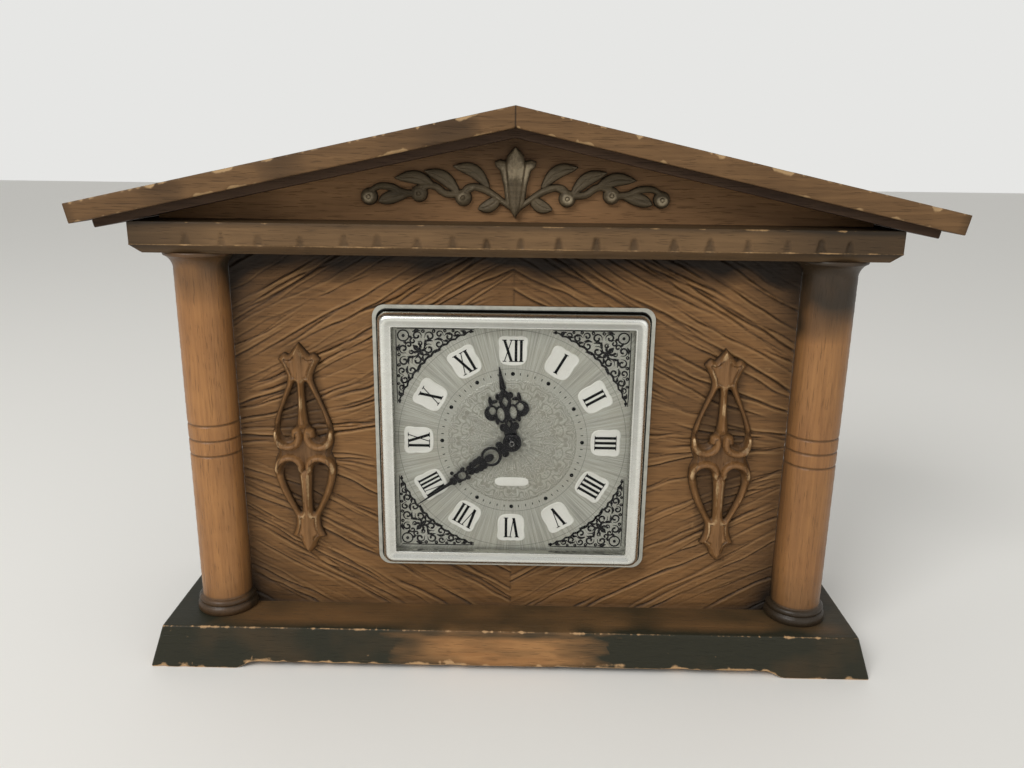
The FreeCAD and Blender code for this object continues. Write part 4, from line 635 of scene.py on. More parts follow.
def wound_copper(name):
    """Enamelled winding wire, drawn 0.25 mm thick: rings of copper and dark gaps."""
    tree, shader = start_finish(name, Metallic=0.85, Roughness=0.3)
    reach = round_centre(tree, COIL)[0]
    wire = add(tree, "Math SINE", {0: add(tree, "Math MULTIPLY",
                                          {0: reach, 1: 2 * math.pi / 0.25})})
    share = add(tree, "MapRange", {"Value": wire, "From Min": -1.0})
    colour = add(tree, "Mix", {0: share, 6: "#7A3418", 7: "#C66E3C"})
    surface(tree, shader, colour, wire, 0.05)


def polished_glass(name):
    """Float glass: nearly nothing but its reflections shows, under a faint film of dust in
    clouds 40 mm wide that dulls them."""
    tree, shader = start_finish(name, Base_Color=linear("#101413"), Alpha=0.05, IOR=1.52)
    film = add(tree, "TexNoise", {"Vector": add(tree, "TexCoord", out="Object"), "Scale": 25.0,
                                  "Detail": 5.0, "Roughness": 0.6})
    dulled = add(tree, "MapRange", {"Value": film, "From Min": 0.4, "From Max": 0.75,
                                    "To Min": 0.015, "To Max": 0.12})
    tree.links.new(dulled, shader.inputs["Roughness"])


def lacquered_jacket(name):
    """Lacquered metal jacket: a blue body and a bare band at the cap end, glossy."""
    tree, shader = start_finish(name, Metallic=0.4, Roughness=0.3, Coat_Weight=0.6,
                                Coat_Roughness=0.1)
    where = add(tree, "TexCoord", out="Object")
    along = add(tree, "SeparateXYZ", {0: where}, 0)
    band = add(tree, "MapRange", {"Value": along, "From Min": 9.6 * MM, "From Max": 10.0 * MM})
    cloud = add(tree, "TexNoise", {"Vector": where, "Scale": 120.0, "Detail": 3.0})
    blue = add(tree, "Mix", {0: cloud, 6: "#1E3D60", 7: "#3A5C82"})
    colour = add(tree, "Mix", {0: band, 6: blue, 7: "#B9B4A2"})
    surface(tree, shader, colour, cloud, 0.01)


def make_finishes(colours):
    """Every finish of the clock, named for what the real one is and how it was worked, and for
    painted shade where its colour carries some.
    """
    # Carved pine, brown stain left dark in the cuts: warm brown bands between dark lines
    stained_wood("carved_pine_brown_stain", "#4E3822", colours.board, "#B28B5C", "#1E150C",
                 "x", 0.6)
    # Turned beech, varnished: orange brown with a soft sheen, sprayed dark at both ends
    stained_wood("turned_beech_varnished", "#7A5230", colours.column, "#C29A6A", "#30261A",
                 "z", 0.42, 0.2)
    # Base board: black-green spray over pale pine, rubbed through at the middle
    stained_wood("base_pine_black_stain", "#8C6038", colours.base, "#B9946A", "#2A291E",
                 "x", 0.52)
    # Roof boards: brown stain with scraped edges
    stained_wood("roof_pine_brown_stain", "#4E3822", colours.roof, "#A98A62", "#261C11",
                 "x", 0.6)
    # Moulding under the gable: brown with an olive cast and a rubbed lower edge, whose pale
    # line is also a painted highlight
    stained_wood("moulding_pine_olive_stain", "#543F28", colours.moulding, "#AA885E",
                 "#2A2116", "x", 0.55)
    # Gable board: flat brown, darkened towards the ridge as painted shade under the roof
    stained_wood("gable_board_stain_painted_shade", "#6C4F33", colours.gable, "#8A6A48", "#20170F",
                 "x", 0.6, 0.0, (234, 264))
    # Pierced scrolls: lighter wood whose high edges are rubbed pale, also a painted highlight
    stained_wood("scroll_pine_rubbed", "#5E4022", colours.scroll, "#D0B084", "#21170D", "z",
                 0.5, 0.1)
    # Leaf spray: olive brown, little rubbed, with a painted highlight on its highest ridges
    stained_wood("spray_pine_olive_stain", "#3B3326", colours.spray, "#AC9C80", "#17120C",
                 "x", 0.55)
    # Roof lining: thin boards, stained dark brown and darkened nearly to black as painted shade
    # under the roof
    stained_wood("lining_pine_stain_painted_shade", "#2A1B10", "#44301E", "#7A5E40", "#150E08",
                 "x", 0.6)
    # Sides: plain boards in the same brown
    stained_wood("side_pine_brown_stain", "#4D3622", colours.board, "#9C7C52", "#261A10",
                 "z", 0.58)
    # Back: pressed fibre board, dull brown and felted, without grain
    felted_board("back_hardboard")
    # Plated screws: bluish white with dull spots
    worked_metal("screw_steel_zinc_plated", "#A6A59D", "#7E7B6E", 0.38)
    # Bezel: satin aluminium drawn along X, so highlights run along its bars
    worked_metal("bezel_aluminium_satin", colours.bezel, "#B4B1A2", 0.27, (30, 900, 900),
                 0.006, 0.1)
    # Rubber gasket: matt black line round the bezel
    moulded_plastic("gasket_rubber_black", "#0C0F0E", "#151A18", 0.75, shine=0.2)
    # Float glass: hardly seen but for what it reflects
    polished_glass("glass_flat_polished")
    # Silvered brass, brushed outwards: rays painted pale and grey as a sheen, and fine engraved
    # curls on the disc
    silvered_dial("dial_silvered_sunray", colours.dial, "#8E8E84", False)
    silvered_dial("disc_silvered_engraved", colours.dial, "#8A8A7F", True)
    # Raised plates of the dial: paler satin silver
    moulded_plastic("cartouche_silver_satin", "#D4D3C9", "#E2E1D8", 0.45, grit=600.0)
    # Enamel on the hands and the corner ornaments: deep black with a soft gloss
    moulded_plastic("hands_black_enamel", colours.enamel, "#100F11", 0.3, grit=900.0,
                    depth=0.01, shine=0.3)
    # Printing ink: flat black, and a grey line ink
    moulded_plastic("print_black_ink", "#0C0C0C", "#151516", 0.6, shine=0.15)
    moulded_plastic("print_grey_ink", "#6E6E66", "#808078", 0.6, shine=0.3)
    # Tray: moulded styrene sprayed silver, greyer than the bezel
    worked_metal("tray_styrene_silver_sprayed", "#B9B8AE", "#8C8B82", 0.33, metallic=0.85)
    # Battery holder: black styrene with a fine spark-eroded grain
    moulded_plastic("holder_styrene_black", "#1E1E1C", "#292825", 0.5)
    # Clips: rolled spring steel, pale grey with a dull shine
    worked_metal("clip_spring_steel", "#A9A9A2", "#83827A", 0.3)
    # Plates: brass grained along X; wheels: stamped brass, smoother
    worked_metal("plate_brass_grained", "#C7A25A", "#9B7A3C", 0.3, (60, 3000, 3000),
                 0.006, 0.12)
    worked_metal("wheel_brass_stamped", "#CDA75C", "#A58445", 0.24, depth=0.006)
    # Arbors: steel polished round, so lines cross them
    worked_metal("arbor_steel_polished", "#B9B9B4", "#8D8C86", 0.2, (900, 40, 900), 0.004)
    # Jewels: polished ruby, deep red with a sharp highlight
    moulded_plastic("jewel_ruby_polished", "#9E1030", "#B3183A", 0.06, depth=0.001)
    # Hairspring: steel blued by heat, so dark blue and glossy
    worked_metal("hairspring_steel_blued", "#3E4C74", "#2C3552", 0.25)
    # Magnets: pressed ferrite, dark grey and nearly dull
    worked_metal("magnet_ferrite_grey", "#4A4A4C", "#333335", 0.55, metallic=0.6)
    # Coil: rows of enamelled copper wire, red brown with a shine on each turn
    wound_copper("coil_copper_enamelled")
    # Dust cover: clear styrene, only its edges and reflections show
    moulded_plastic("cover_styrene_clear", "#B9C2BE", "#AEB6B2", 0.12, alpha=0.12,
                    grit=200.0, depth=0.004)
    # Knob: moulded black plastic with a soft gloss
    moulded_plastic("knob_plastic_black", "#161616", "#212121", 0.4)
    # Battery: a lacquered jacket, blue and glossy, with a bare metal band
    lacquered_jacket("battery_jacket_blue")
    # Contacts: nickel plate, warm grey and nearly a mirror
    worked_metal("contact_nickel_plated", "#C9C4B4", "#A39D8B", 0.18)
    # Circuit board: brown phenolic laminate; component: blue moulded case
    moulded_plastic("board_phenolic_brown", "#6C4A1E", "#7C5728", 0.4)
    moulded_plastic("component_case_blue", "#1B2B4E", "#22355E", 0.25)


# Case pieces

def carve_levels(shapes):
    """Gouge lines over the front board. On each half the grain of the carving rises or falls
    away from the middle level: a line through height z0 at the middle of its run follows
    z = h * asinh(sinh(z0 / h) * exp(s * u / h)), where u runs from the side to the centre,
    with a slow sideways wander and a slight lean of its own. Each line is a narrow V with a
    raised burr beside it."""
    rng = np.random.default_rng(11)
    deepest = shapes.gouge_depth / MM
    lines = []
    for side in (-1, 1):
        for seed_u in (6.0, 30.0, 54.0, 78.0, 102.0, 126.0):
            level = -93.0 + rng.uniform(0, 3)
            while level < 95:
                half = rng.uniform(12, 48)
                lines.append((side, seed_u + rng.uniform(-10, 10), level, half,
                              rng.uniform(0.3, 1.0) * deepest, rng.uniform(0.16, 0.42),
                              rng.uniform(0, 1000), rng.choice((-1, 1)),
                              rng.uniform(-0.075, 0.075)))
                level += rng.choice((rng.uniform(2.0, 3.6), rng.uniform(7.0, 15.0)))
    return lines


def carve_front(shapes, xs, zs):
    """The front board's carved face over a grid: its points, and its marks cavity and shade.
    Where cuts meet, the deepest counts, and the seam up the middle is one of them. The ground
    is slightly hollow and settles to the plain face along every edge. The mark shade is painted
    shade: darker along its top under the moulding, in its corners, at its foot, beside the
    columns and behind the scrolls beside the dial."""
    half, low, high = PANEL_HALF, BASE_TOP, TOP_BOARD_Z
    x, z = np.meshgrid(xs, zs)
    away = np.abs(x)
    drop, burr = np.zeros_like(x), np.zeros_like(x)
    h, slope = 26.0, 0.56
    level = z - CARVING_Z
    for side, seed_u, z0, reach, deep, wide, phase, lip, lean in carve_levels(shapes):
        u = half - side * xs
        pick = (np.abs(u - seed_u) < reach) & (side * xs >= -0.4)
        if not pick.any():
            continue
        ux = u[pick]
        grow = np.exp(np.clip(slope * (ux - seed_u) / h, -3, 3))
        line = h * np.arcsinh(np.sinh(z0 / h) * grow) + lean * (ux - seed_u)
        line = line + 0.8 * np.sin((ux + phase) / 9.5) + 0.5 * wander(ux, 8.0, int(phase))
        fade = ramp(1.2 * (1 - ((ux - seed_u) / reach) ** 2))
        gap = (level[:, pick] - line) * 0.87
        cut = deep * fade * tent(gap, 0, wide + 0.34 * deep)
        drop[:, pick] = np.maximum(drop[:, pick], cut)
        ridge = 0.34 * deep * fade * np.exp(-((lip * gap - wide - 0.34 * deep - 0.35)
                                              / 0.55) ** 2)
        burr[:, pick] = np.maximum(burr[:, pick], ridge)
    seam = 0.3 * tent(x + 0.4 * wander(z, 9, 5), 0, 0.8)
    drop = np.maximum(drop, np.where(np.abs(level) > 20, seam, 0))
    flow = np.sinh(level / h) * np.exp(-slope * (half - away) / h)
    hollow = 0.16 * mottle(flow * 60, away * 0.16, 3.0, 8) + 0.10 * mottle(x, z, 7, 9)
    nick = np.clip(mottle(x, z, 1.7, 12) - 0.88, 0, None) * 3.5
    height = hollow - drop + burr - 0.30 - nick * 0.3
    rim = np.maximum(away, np.abs(z - HUB[1])) - HOLE_HALF
    settle = ramp(np.minimum(np.minimum(z - low, high - z), rim + 0.2) / 1.5)
    settle = np.minimum(settle, ramp((half - away) / 1.0))
    points = beside(x, FACE_Y - height * settle, z)
    # Dark stain in the cuts; pale on the burrs as a painted highlight, and pale in the nicks as
    # wear
    cavity = ramp(drop * 1.5) - ramp(burr * 2.2 + nick)
    # Painted shade under the moulding, in the corners, at the foot, beside the columns, along
    # the bottom edge and behind the scrolls
    top = ramp((z - (high - 15 - 3 * mottle(x, z, 14, 21))) / 11)
    corner = ramp((away - 104) / 30) * ramp((z - 160) / 36)
    foot = ramp((away - 100) / 34) * ramp((62 - z) / 34)
    sides = ramp((away - 124) / 12)
    low_edge = ramp((low + 6 - z) / 6)
    scroll_shadow = ramp(1.2 - np.hypot((away - 105) / 14, (z - 107) / 52) ** 4)
    shade = ramp(top + corner * 0.7 + foot * 0.6 + 0.30 * sides + 0.4 * low_edge + 0.07
                 + 0.5 * scroll_shadow)
    return points, cavity, shade


def make_front_panel(shapes):
    """The carved board: a grid 0.8 by 0.5 mm with the dial's hole left out, pushed in along
    the gouge lines, its rim carried to the back and closed with four flat faces."""
    half, hole = PANEL_HALF, HOLE_HALF
    hole_low, hole_high = HUB[1] - hole, HUB[1] + hole

    def spaced(stops, step):
        """Places from the first stop to the last, each stop among them, about a step apart."""
        runs = [np.linspace(a, b, max(round((b - a) / step), 1) + 1)[:-1]
                for a, b in zip(stops, stops[1:])]
        return np.concatenate(runs + [stops[-1:]])

    xs = spaced((-half, -hole, hole, half), 0.8)
    zs = spaced((BASE_TOP, hole_low, hole_high, TOP_BOARD_Z), 0.48)
    grid, cavity, shade = carve_front(shapes, xs, zs)
    rows, columns = shade.shape
    number = np.arange(rows * columns).reshape(rows, columns)
    centre_x = (xs[:-1] + xs[1:]) / 2
    centre_z = (zs[:-1] + zs[1:]) / 2 - HUB[1]
    keep = np.maximum(np.abs(centre_x)[None, :], np.abs(centre_z)[:, None]) > hole
    quads = squares(number)[keep]
    i0, i1 = np.searchsorted(xs, (-hole - 0.01, hole - 0.01))
    j0, j1 = np.searchsorted(zs, (hole_low - 0.01, hole_high - 0.01))

    def loop(left, right, bottom, top_row):
        """The points along a rectangle of the grid, side by side from its lower left."""
        return [number[bottom, left:right], number[bottom:top_row, right],
                number[top_row, left + 1:right + 1][::-1],
                number[bottom + 1:top_row + 1, left][::-1]]

    front = grid.reshape(-1, 3)
    loops = (loop(0, columns - 1, 0, rows - 1), loop(i0, i1, j0, j1))
    rear, faces, corners = [], [quads], []
    at = len(front)
    for sides_of, flip in zip(loops, (1, -1)):
        ring = np.concatenate(sides_of)
        points = front[ring].copy()
        points[:, 1] = FACE_Y + BOARD_THICK
        back = at + np.arange(len(ring))
        wall = beside(np.roll(ring, -1), ring, back, np.roll(back, -1))
        faces.append(wall[:, ::flip])
        steps = np.cumsum([0] + [len(s) for s in sides_of])
        corners.append([back[np.arange(a, b + 1) % len(ring)]
                        for a, b in zip(steps[:-1], steps[1:])])
        rear.append(points)
        at += len(ring)
    for out, inner in zip(*corners):
        faces.append(np.concatenate([inner, out[::-1]])[None, :])
    points = np.vstack([front] + rear)
    used, lookup = used_points(len(points), faces)
    spare = np.zeros(len(points) - len(front))
    made = outward(Form(points[used], [lookup[f] for f in faces],
                        cavity=np.concatenate([cavity.ravel(), spare])[used],
                        shade=np.concatenate([shade.ravel(), spare])[used]))
    add_piece("carved_front_board", made, "case", "carved_pine_brown_stain",
              ["front_panel"], 60)


def make_roof_boards(shapes):
    """Each half is a bar with worn corners, carried down the slope. A point s along and n up
    from the lower ridge line stands at x = s cos a + n sin a, and the mitre starts it at
    s = -n tan a. Chips bite into the corners, deepest along the front edge."""
    low = GABLE_Z + TOP_HALF * ROOF_SLOPE + 3.8 * SLANT
    run = (ROOF_HALF - ROOF_THICK * ROOF_SLOPE / SLANT) * SLANT
    share = np.linspace(0, 1, 420)
    for side, word in ((-1, "left"), (1, "right")):
        seed = 40 + side
        s = share * run
        inset = end_inset(s, run, 0.9)
        y0 = -55.9 + 0.25 * wander(s, 22, seed) + inset
        y1 = 55.4 - inset
        n0, n1 = inset, ROOF_THICK - inset
        cuts = beside(0.6 + chips(s, seed + 3, 1.3, 5.5, 0.35), 0.5,
                      0.8 + chips(s, seed + 9, 0.9, 7.0),
                      0.7 + chips(s, seed + 15, 1.7, 6.0, 0.35))
        cuts = cuts * np.clip((run - s) / 3, 0.3, 1)[:, None]
        y, n, edge, strength = worn_section(((y0, n0), (y1, n0), (y1, n1), (y0, n1)), cuts,
                                            (8, 4, 8, 5), 0.6, 1.3)
        along = -n * ROOF_SLOPE + (run + n * ROOF_SLOPE) * share[:, None]
        x = side * (along + n * ROOF_SLOPE) / SLANT
        z = low + (n - along * ROOF_SLOPE) / SLANT
        near_end = ramp((along - run + 5) / 5)
        scrape = ramp(mottle(along * 0.5, n + 3 * y, 3.0, seed) - 0.35)
        front = ramp((-52 - y) / 4)
        wear = edge * (0.13 + strength * 0.75) + 0.2 * near_end + 0.35 * scrape * front
        wear = wear * shapes.edge_wear * (side * x > 0.5)
        smudge = ramp(mottle(along, n, 26, seed + 5) * 1.4)
        mitre = ramp(1 - side * x / 0.5)
        # Dark smudges on the front face, darker near the low end. Every other face, the
        # underside among them, is darkened as painted shade; the mitre is a dark joint line.
        shade = front * (0.10 + (0.28 - 0.22 * side) * smudge) + 0.4 * near_end
        shade += 0.8 * (1 - front) + mitre
        made = skin(beside(x, y, z), wear=wear, shade=ramp(shade))
        add_piece("roof_plank_" + word, made, "case", "roof_pine_brown_stain",
                  ["roof_board_" + word], 42)


def make_top_moulding(shapes):
    """The board under the gable: a bar along X whose underside is bevelled 4.2 mm at the
    front and the ends, with chip cuts along its front face. A cut's depth is a trapezium in
    height and width, narrow at its top."""
    half, lift, thick = TOP_HALF, 4.2, 14.5
    xs = np.unique(np.concatenate([np.linspace(-half, half, 700), [half - lift, lift - half],
                                   np.linspace(half - 1, half, 5),
                                   -np.linspace(half - 1, half, 5)]))
    back, front = 54.4, -50.1
    rise = np.clip(np.abs(xs) - (half - lift), 0, lift)
    inset = end_inset(np.abs(xs), half, 0.7)
    corners = ((front + lift - rise + inset * 0.5, rise * 0.98), (back, rise * 0.98),
               (back, thick - inset), (front + inset, thick - inset),
               (front + inset, lift + 0.02))
    cuts = beside(0.15, 0.3, 0.4, 0.5 + chips(xs, 61, 0.9, 7.0), 0.35 + chips(xs, 71, 0.5, 5.0))
    cuts = np.minimum(cuts, np.array([0.15, 0.3, 2.5, 2.0, 1.4]))
    y, z, edge, strength = worn_section(corners, cuts, (6, 3, 6, 16, 3), 0.4, 1.2)
    x = np.broadcast_to(xs[:, None], y.shape)
    rng = np.random.default_rng(31)
    places = np.array([-148.6, -132.2, -115.6, -96.5, -76.6, -61.6, -43.6, -27.6, -12.3, 3.1,
                       20.1, 37.0, 53.9, 71.8, 88.0, 105.0, 122.7, 137.6, 150.4])
    notch = np.zeros_like(y)
    for place in places:
        foot, head = rng.uniform(2.3, 3.0), rng.uniform(1.0, 1.6)
        low, high = 4.4 + rng.uniform(-0.3, 0.3), 10.0 + rng.uniform(-0.9, 0.9)
        up = ramp((z - low) / (high - low))
        inside = ramp((foot + (head - foot) * up - np.abs(x - place)) / 1.6)
        inside *= ramp((high - z) / 1.2) * ramp((z - low + 0.9) / 0.9)
        notch = np.maximum(notch, inside * rng.uniform(0.5, 1.0) * shapes.notch_depth / MM
                           * (0.65 if place < -20 else 1.0))
    facing = ramp((front + 2.5 - y) / 2.0)
    y = y + notch * facing * ramp((z - 3.4) / 0.6)
    bevel = ramp((4.4 - z) / 0.8) * facing
    line = tent(z, 4.1, 0.5) * facing
    # The pale line along the edge above the bevel: rubbed wear and a painted highlight
    wear = edge * (0.12 + 0.7 * strength) + line * (0.5 + 0.18 * wander(x, 12, 3))
    wear = wear * shapes.edge_wear
    # Painted shade on the downward bevel and on every face but the front; the front is also
    # darker along its top band and towards the ends
    shade = (0.55 * ramp((z - 11.5) / 3.0) * facing + 0.10 * facing + 0.30 * bevel
             + 0.5 * (1 - facing) + facing * np.clip((x * np.where(x > 0, 1, -0.8) - 105) / 60,
                                                     0, 0.6))
    shade = ramp(shade)
    # Painted shade in the notches (mark cavity)
    made = skin(beside(x, y, z + TOP_BOARD_Z), wear=wear, shade=shade,
                cavity=ramp(notch) * facing * 0.6)
    add_piece("notched_moulding", made, "case", "moulding_pine_olive_stain",
              ["top_board"], 35)


def make_base(shapes):
    """The flared foot board: a bar along X whose sections lean, u from -1 to 1 going out to
    the flared ends, and whose underside follows the arch between its two bracket feet."""
    u = np.unique(np.concatenate([np.linspace(-1, 1, 600), np.linspace(0.993, 1, 6),
                                  -np.linspace(0.993, 1, 6)]))
    place = np.abs(u) * BASE_HALF
    t = ramp((139.0 - place) / 10.0)
    arch = 3.4 * (t ** 2 * (3 - 2 * t)) + 0.5 * np.sin(np.pi * t) * t
    inset = end_inset(place, BASE_HALF, 1.2)
    low, high = arch + inset * 0.4, BASE_TOP - inset * 0.6
    corners = ((-60 + 4.3 * (arch / BASE_TOP) + inset, low), (60 - inset, low),
               (60 - inset, high), (-55.7 + inset, high))
    s = u * BASE_HALF
    cuts = beside(0.7 + chips(s, 82, 0.9, 5.0), 0.7, 1.0, 0.9 + chips(s, 91, 0.6, 3.2, 0.35))
    y, z, edge, strength = worn_section(corners, cuts, (6, 4, 14, 12), 0.85, 1.2)
    x = u[:, None] * (BASE_HALF - 6.0 * z / BASE_TOP)
    front = ramp((-50 - y) / 5)
    streak = mottle(x * 0.25, z * 1.3, 2.4, 26)
    flake = ramp(mottle(x * 0.5, z, 1.9, 33) * 1.2)
    wear = (edge * (0.34 + 0.8 * strength + 0.16 * wander(x, 9, 8))
            + 0.3 * ramp((np.abs(x) - 174) / 6) * edge + 0.42 * front * ramp(streak - 0.45)
            + 0.5 * front * ramp(1 - (z - arch[:, None]) / 1.6) * edge
            + 0.9 * front * flake * ramp(1 - (z - arch[:, None]) / 4.5)
            + 1.6 * front * ramp(mottle(x * 0.6, z, 1.3, 77) - 0.72))
    wear = wear * shapes.edge_wear
    bare = ramp((60 + 10 * wander(z, 7, 4) - np.abs(x + 4)) / 32)
    bare = bare * np.clip((z - 1.5) / 4, 0.35, 1) * np.clip((19.6 - z) / 3, 0.3, 1)
    shade = 1.0 - front * (0.84 * bare - 0.22 * streak * (bare > 0.02))
    top = 0.72 + 0.16 * mottle(x * 0.4, y, 7, 14) + 0.3 * ramp((np.abs(x) - 130) / 40)
    shade = np.where(front > 0, shade, top)
    made = skin(beside(x, y, z), wear=wear, shade=np.clip(shade, 0.1, 1))
    add_piece("flared_base", made, "case", "base_pine_black_stain",
              ["base_board"], 42)


# Radius and height of the turned rings at a column's foot and head
COLUMN_FOOT = [(14.7, 0.0), (15.2, 0.5), (15.4, 1.6), (15.3, 3.0), (14.8, 4.1), (14.0, 4.6),
               (13.9, 4.8), (14.4, 5.2), (14.6, 6.0), (14.4, 7.0), (13.7, 7.8), (12.8, 8.1),
               (12.5, 8.6)]
COLUMN_HEAD = [(12.5, 178.8), (12.6, 179.6), (12.9, 180.7), (13.6, 182.2), (14.7, 183.6),
               (15.9, 184.5), (16.5, 184.7), (16.8, 185.1), (16.8, 186.1), (16.5, 186.5)]


def make_columns(shapes):
    """Turned columns: the profile (radius, height) carried round 96 steps, with three
    incised lines. Turning marks ripple the shaft by a few hundredths. Each is sprayed darker
    at both ends, from another height and by another strength. Its sides and back are darkened
    as painted shade, and the right column a little all over, as painted shade."""
    low = COLUMN_RADIUS - shapes.line_depth / MM
    line = ((12.5, -1.1), (12.45, -0.75), (low, -0.2), (low, 0.2), (12.45, 0.75), (12.5, 1.1))
    turn = turns(96)
    for side, word, marks, reach, dark, all_over_shade in (
            (-1, "left", (102.0, 94.0, 86.2), 158, 0.8, 0.0),
            (1, "right", (99.5, 92.3, 85.1), 146, 0.95, 0.2)):
        shaft = [(12.54 + 0.04 * math.sin(z * 0.9) + 0.03 * math.sin(z * 2.3), z)
                 for z in np.linspace(9.4, 178.0, 130) if min(abs(z - m) for m in marks) > 1.6]
        shaft += [(radius, m + away) for m in marks for radius, away in line]
        shaft.sort(key=lambda p: p[1])
        profile = np.array(COLUMN_FOOT + shaft + COLUMN_HEAD)
        inwards = ramp((-side * np.cos(turn) - 0.9) / 0.08)
        h = profile[:, 1:] * np.ones(96)
        r = np.where((h > 80) & (h < 110),
                     np.maximum(profile[:, :1], COLUMN_RADIUS * inwards), profile[:, :1])
        grid = beside(side * COLUMN_X + r * np.cos(turn), COLUMN_Y + r * np.sin(turn),
                      BASE_TOP + h)
        groove = np.max([tent(h, m, 0.8) for m in marks], axis=0)
        lip = tent(h, 4.7, 0.5) + tent(h, 8.3, 0.6)
        # Painted shade: the sides and back, turned away from the front, are darkened
        rear = ramp((grid[..., 1] + 39.5) / 9)
        head = ramp((h - reach - 5 * mottle(h, turn * 8, 9, 4)) / 26)
        shade = (0.62 * ramp((9.5 - h) / 2.0) + dark * head + 0.25 * ramp((30 - h) / 20)
                 + 0.55 * rear + all_over_shade)
        ring = tent(h, 2.2, 0.9) + tent(h, 186, 0.8)
        wear = 0.28 * ring + 0.10 * ramp(mottle(h * 0.4, turn * 5, 6, 17))
        made = skin(grid, shade=ramp(shade), wear=wear, cavity=ramp(groove + lip * 0.8) * 0.85)
        add_piece("turned_column_" + word, made, "case",
                  "turned_beech_varnished", ["column_" + word], 40)


# A scroll's right half, across and up as shares of its half width and height: its outer
# edge in smooth runs that meet in corners, the curls of its middle, and its holes
SCROLL_EDGE = [
    [(0.0, 1.0), (0.20, 0.965), (0.32, 0.945)],
    [(0.32, 0.945), (0.48, 0.952), (0.66, 0.925)],
    [(0.66, 0.925), (0.50, 0.885), (0.40, 0.83), (0.62, 0.74), (0.90, 0.63), (0.95, 0.55),
     (0.84, 0.492)],
    [(0.84, 0.492), (0.96, 0.45), (0.98, 0.39), (0.80, 0.30), (0.52, 0.22), (0.40, 0.18),
     (0.42, 0.13), (0.56, 0.085)],
    [(0.56, 0.085), (0.36, 0.075), (0.26, 0.055)],
    [(0.26, 0.055), (0.20, 0.03), (0.0, 0.0)]]
SCROLL_CURLS = [
    [(0.90, 0.585), (0.84, 0.548), (0.66, 0.526), (0.42, 0.522), (0.22, 0.537), (0.13, 0.566),
     (0.17, 0.595), (0.27, 0.597), (0.30, 0.580)],
    [(0.92, 0.405), (0.84, 0.440), (0.66, 0.463), (0.42, 0.470), (0.22, 0.458), (0.13, 0.432),
     (0.17, 0.412)]]
SCROLL_HOLES = [
    [(0.14, 0.82), (0.40, 0.755), (0.63, 0.68), (0.74, 0.60), (0.62, 0.562), (0.42, 0.568),
     (0.36, 0.602), (0.20, 0.625), (0.13, 0.71)],
    [(0.23, 0.405), (0.34, 0.428), (0.50, 0.437), (0.68, 0.415), (0.68, 0.36), (0.46, 0.27),
     (0.20, 0.205), (0.18, 0.30)]]


def make_scrolls():
    """The two pierced ornaments. Height is the least of a rounded outer edge and rounded
    hole edges, with a spear ridge up the middle and a shallow line cut inside each band."""
    half, tall = 16.0, 112.6
    foot = SCROLL_Z - tall / 2
    edge = np.vstack([smooth_run(run, 6)[:-1] for run in SCROLL_EDGE]) * (half, tall)
    outline = np.vstack([edge, [(0.0, 0.0)], edge[:0:-1] * (-1, 1)])
    holes = [smooth_run(np.array(run) * (half * flip, tall), 6, True)
             for run in SCROLL_HOLES for flip in (1, -1)]
    curls = [smooth_run(np.array(run) * (half, tall), 5) for run in SCROLL_CURLS]

    def off_curls(u, v):
        """How far points lie from the middle lines of the four curls."""
        return np.min([to_path(np.abs(u), v, curl, np.zeros(len(curl)))[1]
                       for curl in curls], axis=0)

    for side, word, lean in ((-1, "left", -0.004), (1, "right", -0.023)):
        centre = side * SCROLL_X

        def field(x, z):
            v = z - foot
            u = x - centre - lean * (v - tall / 2)
            depth = to_outline(u, v, outline)
            for hole in holes:
                depth = np.minimum(depth, -to_outline(u, v, hole))
            height = 1.5 + 1.25 * np.clip(depth, 0, 2.2)
            heart = ramp((0.125 - np.abs(v / tall - 0.51)) / 0.03)
            spear = tent(u, 0, 2.6) * (1 - heart)
            height += 1.5 * spear * ramp(depth / 1.6)
            vein = tent(depth, 2.9, 0.6) * (np.abs(u) > 2.4)
            height -= 0.9 * vein * (1 - heart)
            apart = off_curls(u, v)
            height += heart * (1.2 * ramp(1 - (apart / 1.5) ** 2)
                               - 1.9 * ramp((apart - 1.3) / 0.6))
            return depth, np.minimum(height, 5.5)

        made = relief(field, centre - 17.5, centre + 17.5, foot - 1, foot + tall + 1, 0.45,
                      FACE_Y)
        depth = made.inside
        z = made.points[:, 2]
        u = np.abs(made.points[:, 0] - centre)
        tall_at = FACE_Y - made.points[:, 1]
        # Pale on the high bands: rubbed wear, and a painted highlight as well
        wear = np.clip((tall_at - 3.0) * 1.1, 0, 0.9) * np.clip(1 - depth / 4.5, 0.25, 1)
        made.marks["wear"] = wear * np.clip(0.75 + 0.7 * mottle(u * 3, z, 7, 3), 0.1, 1.2)
        # Stain dark in each band's cut line; painted shade along every cut edge
        made.marks["cavity"] = (0.8 * tent(depth, 2.5, 0.45) * (u > 2.4)
                                + 0.75 * ramp(1 - depth / 0.45))
        # A little darker all over and towards the top; painted shade on the low ground
        made.marks["shade"] = (0.2 * ramp((z - 145) / 18) + 0.1
                               + 0.5 * ramp((3.2 - tall_at) / 1.6))
        add_piece("pierced_scroll_" + word, made, "case", "scroll_pine_rubbed",
                  ["scroll_" + word], 50)


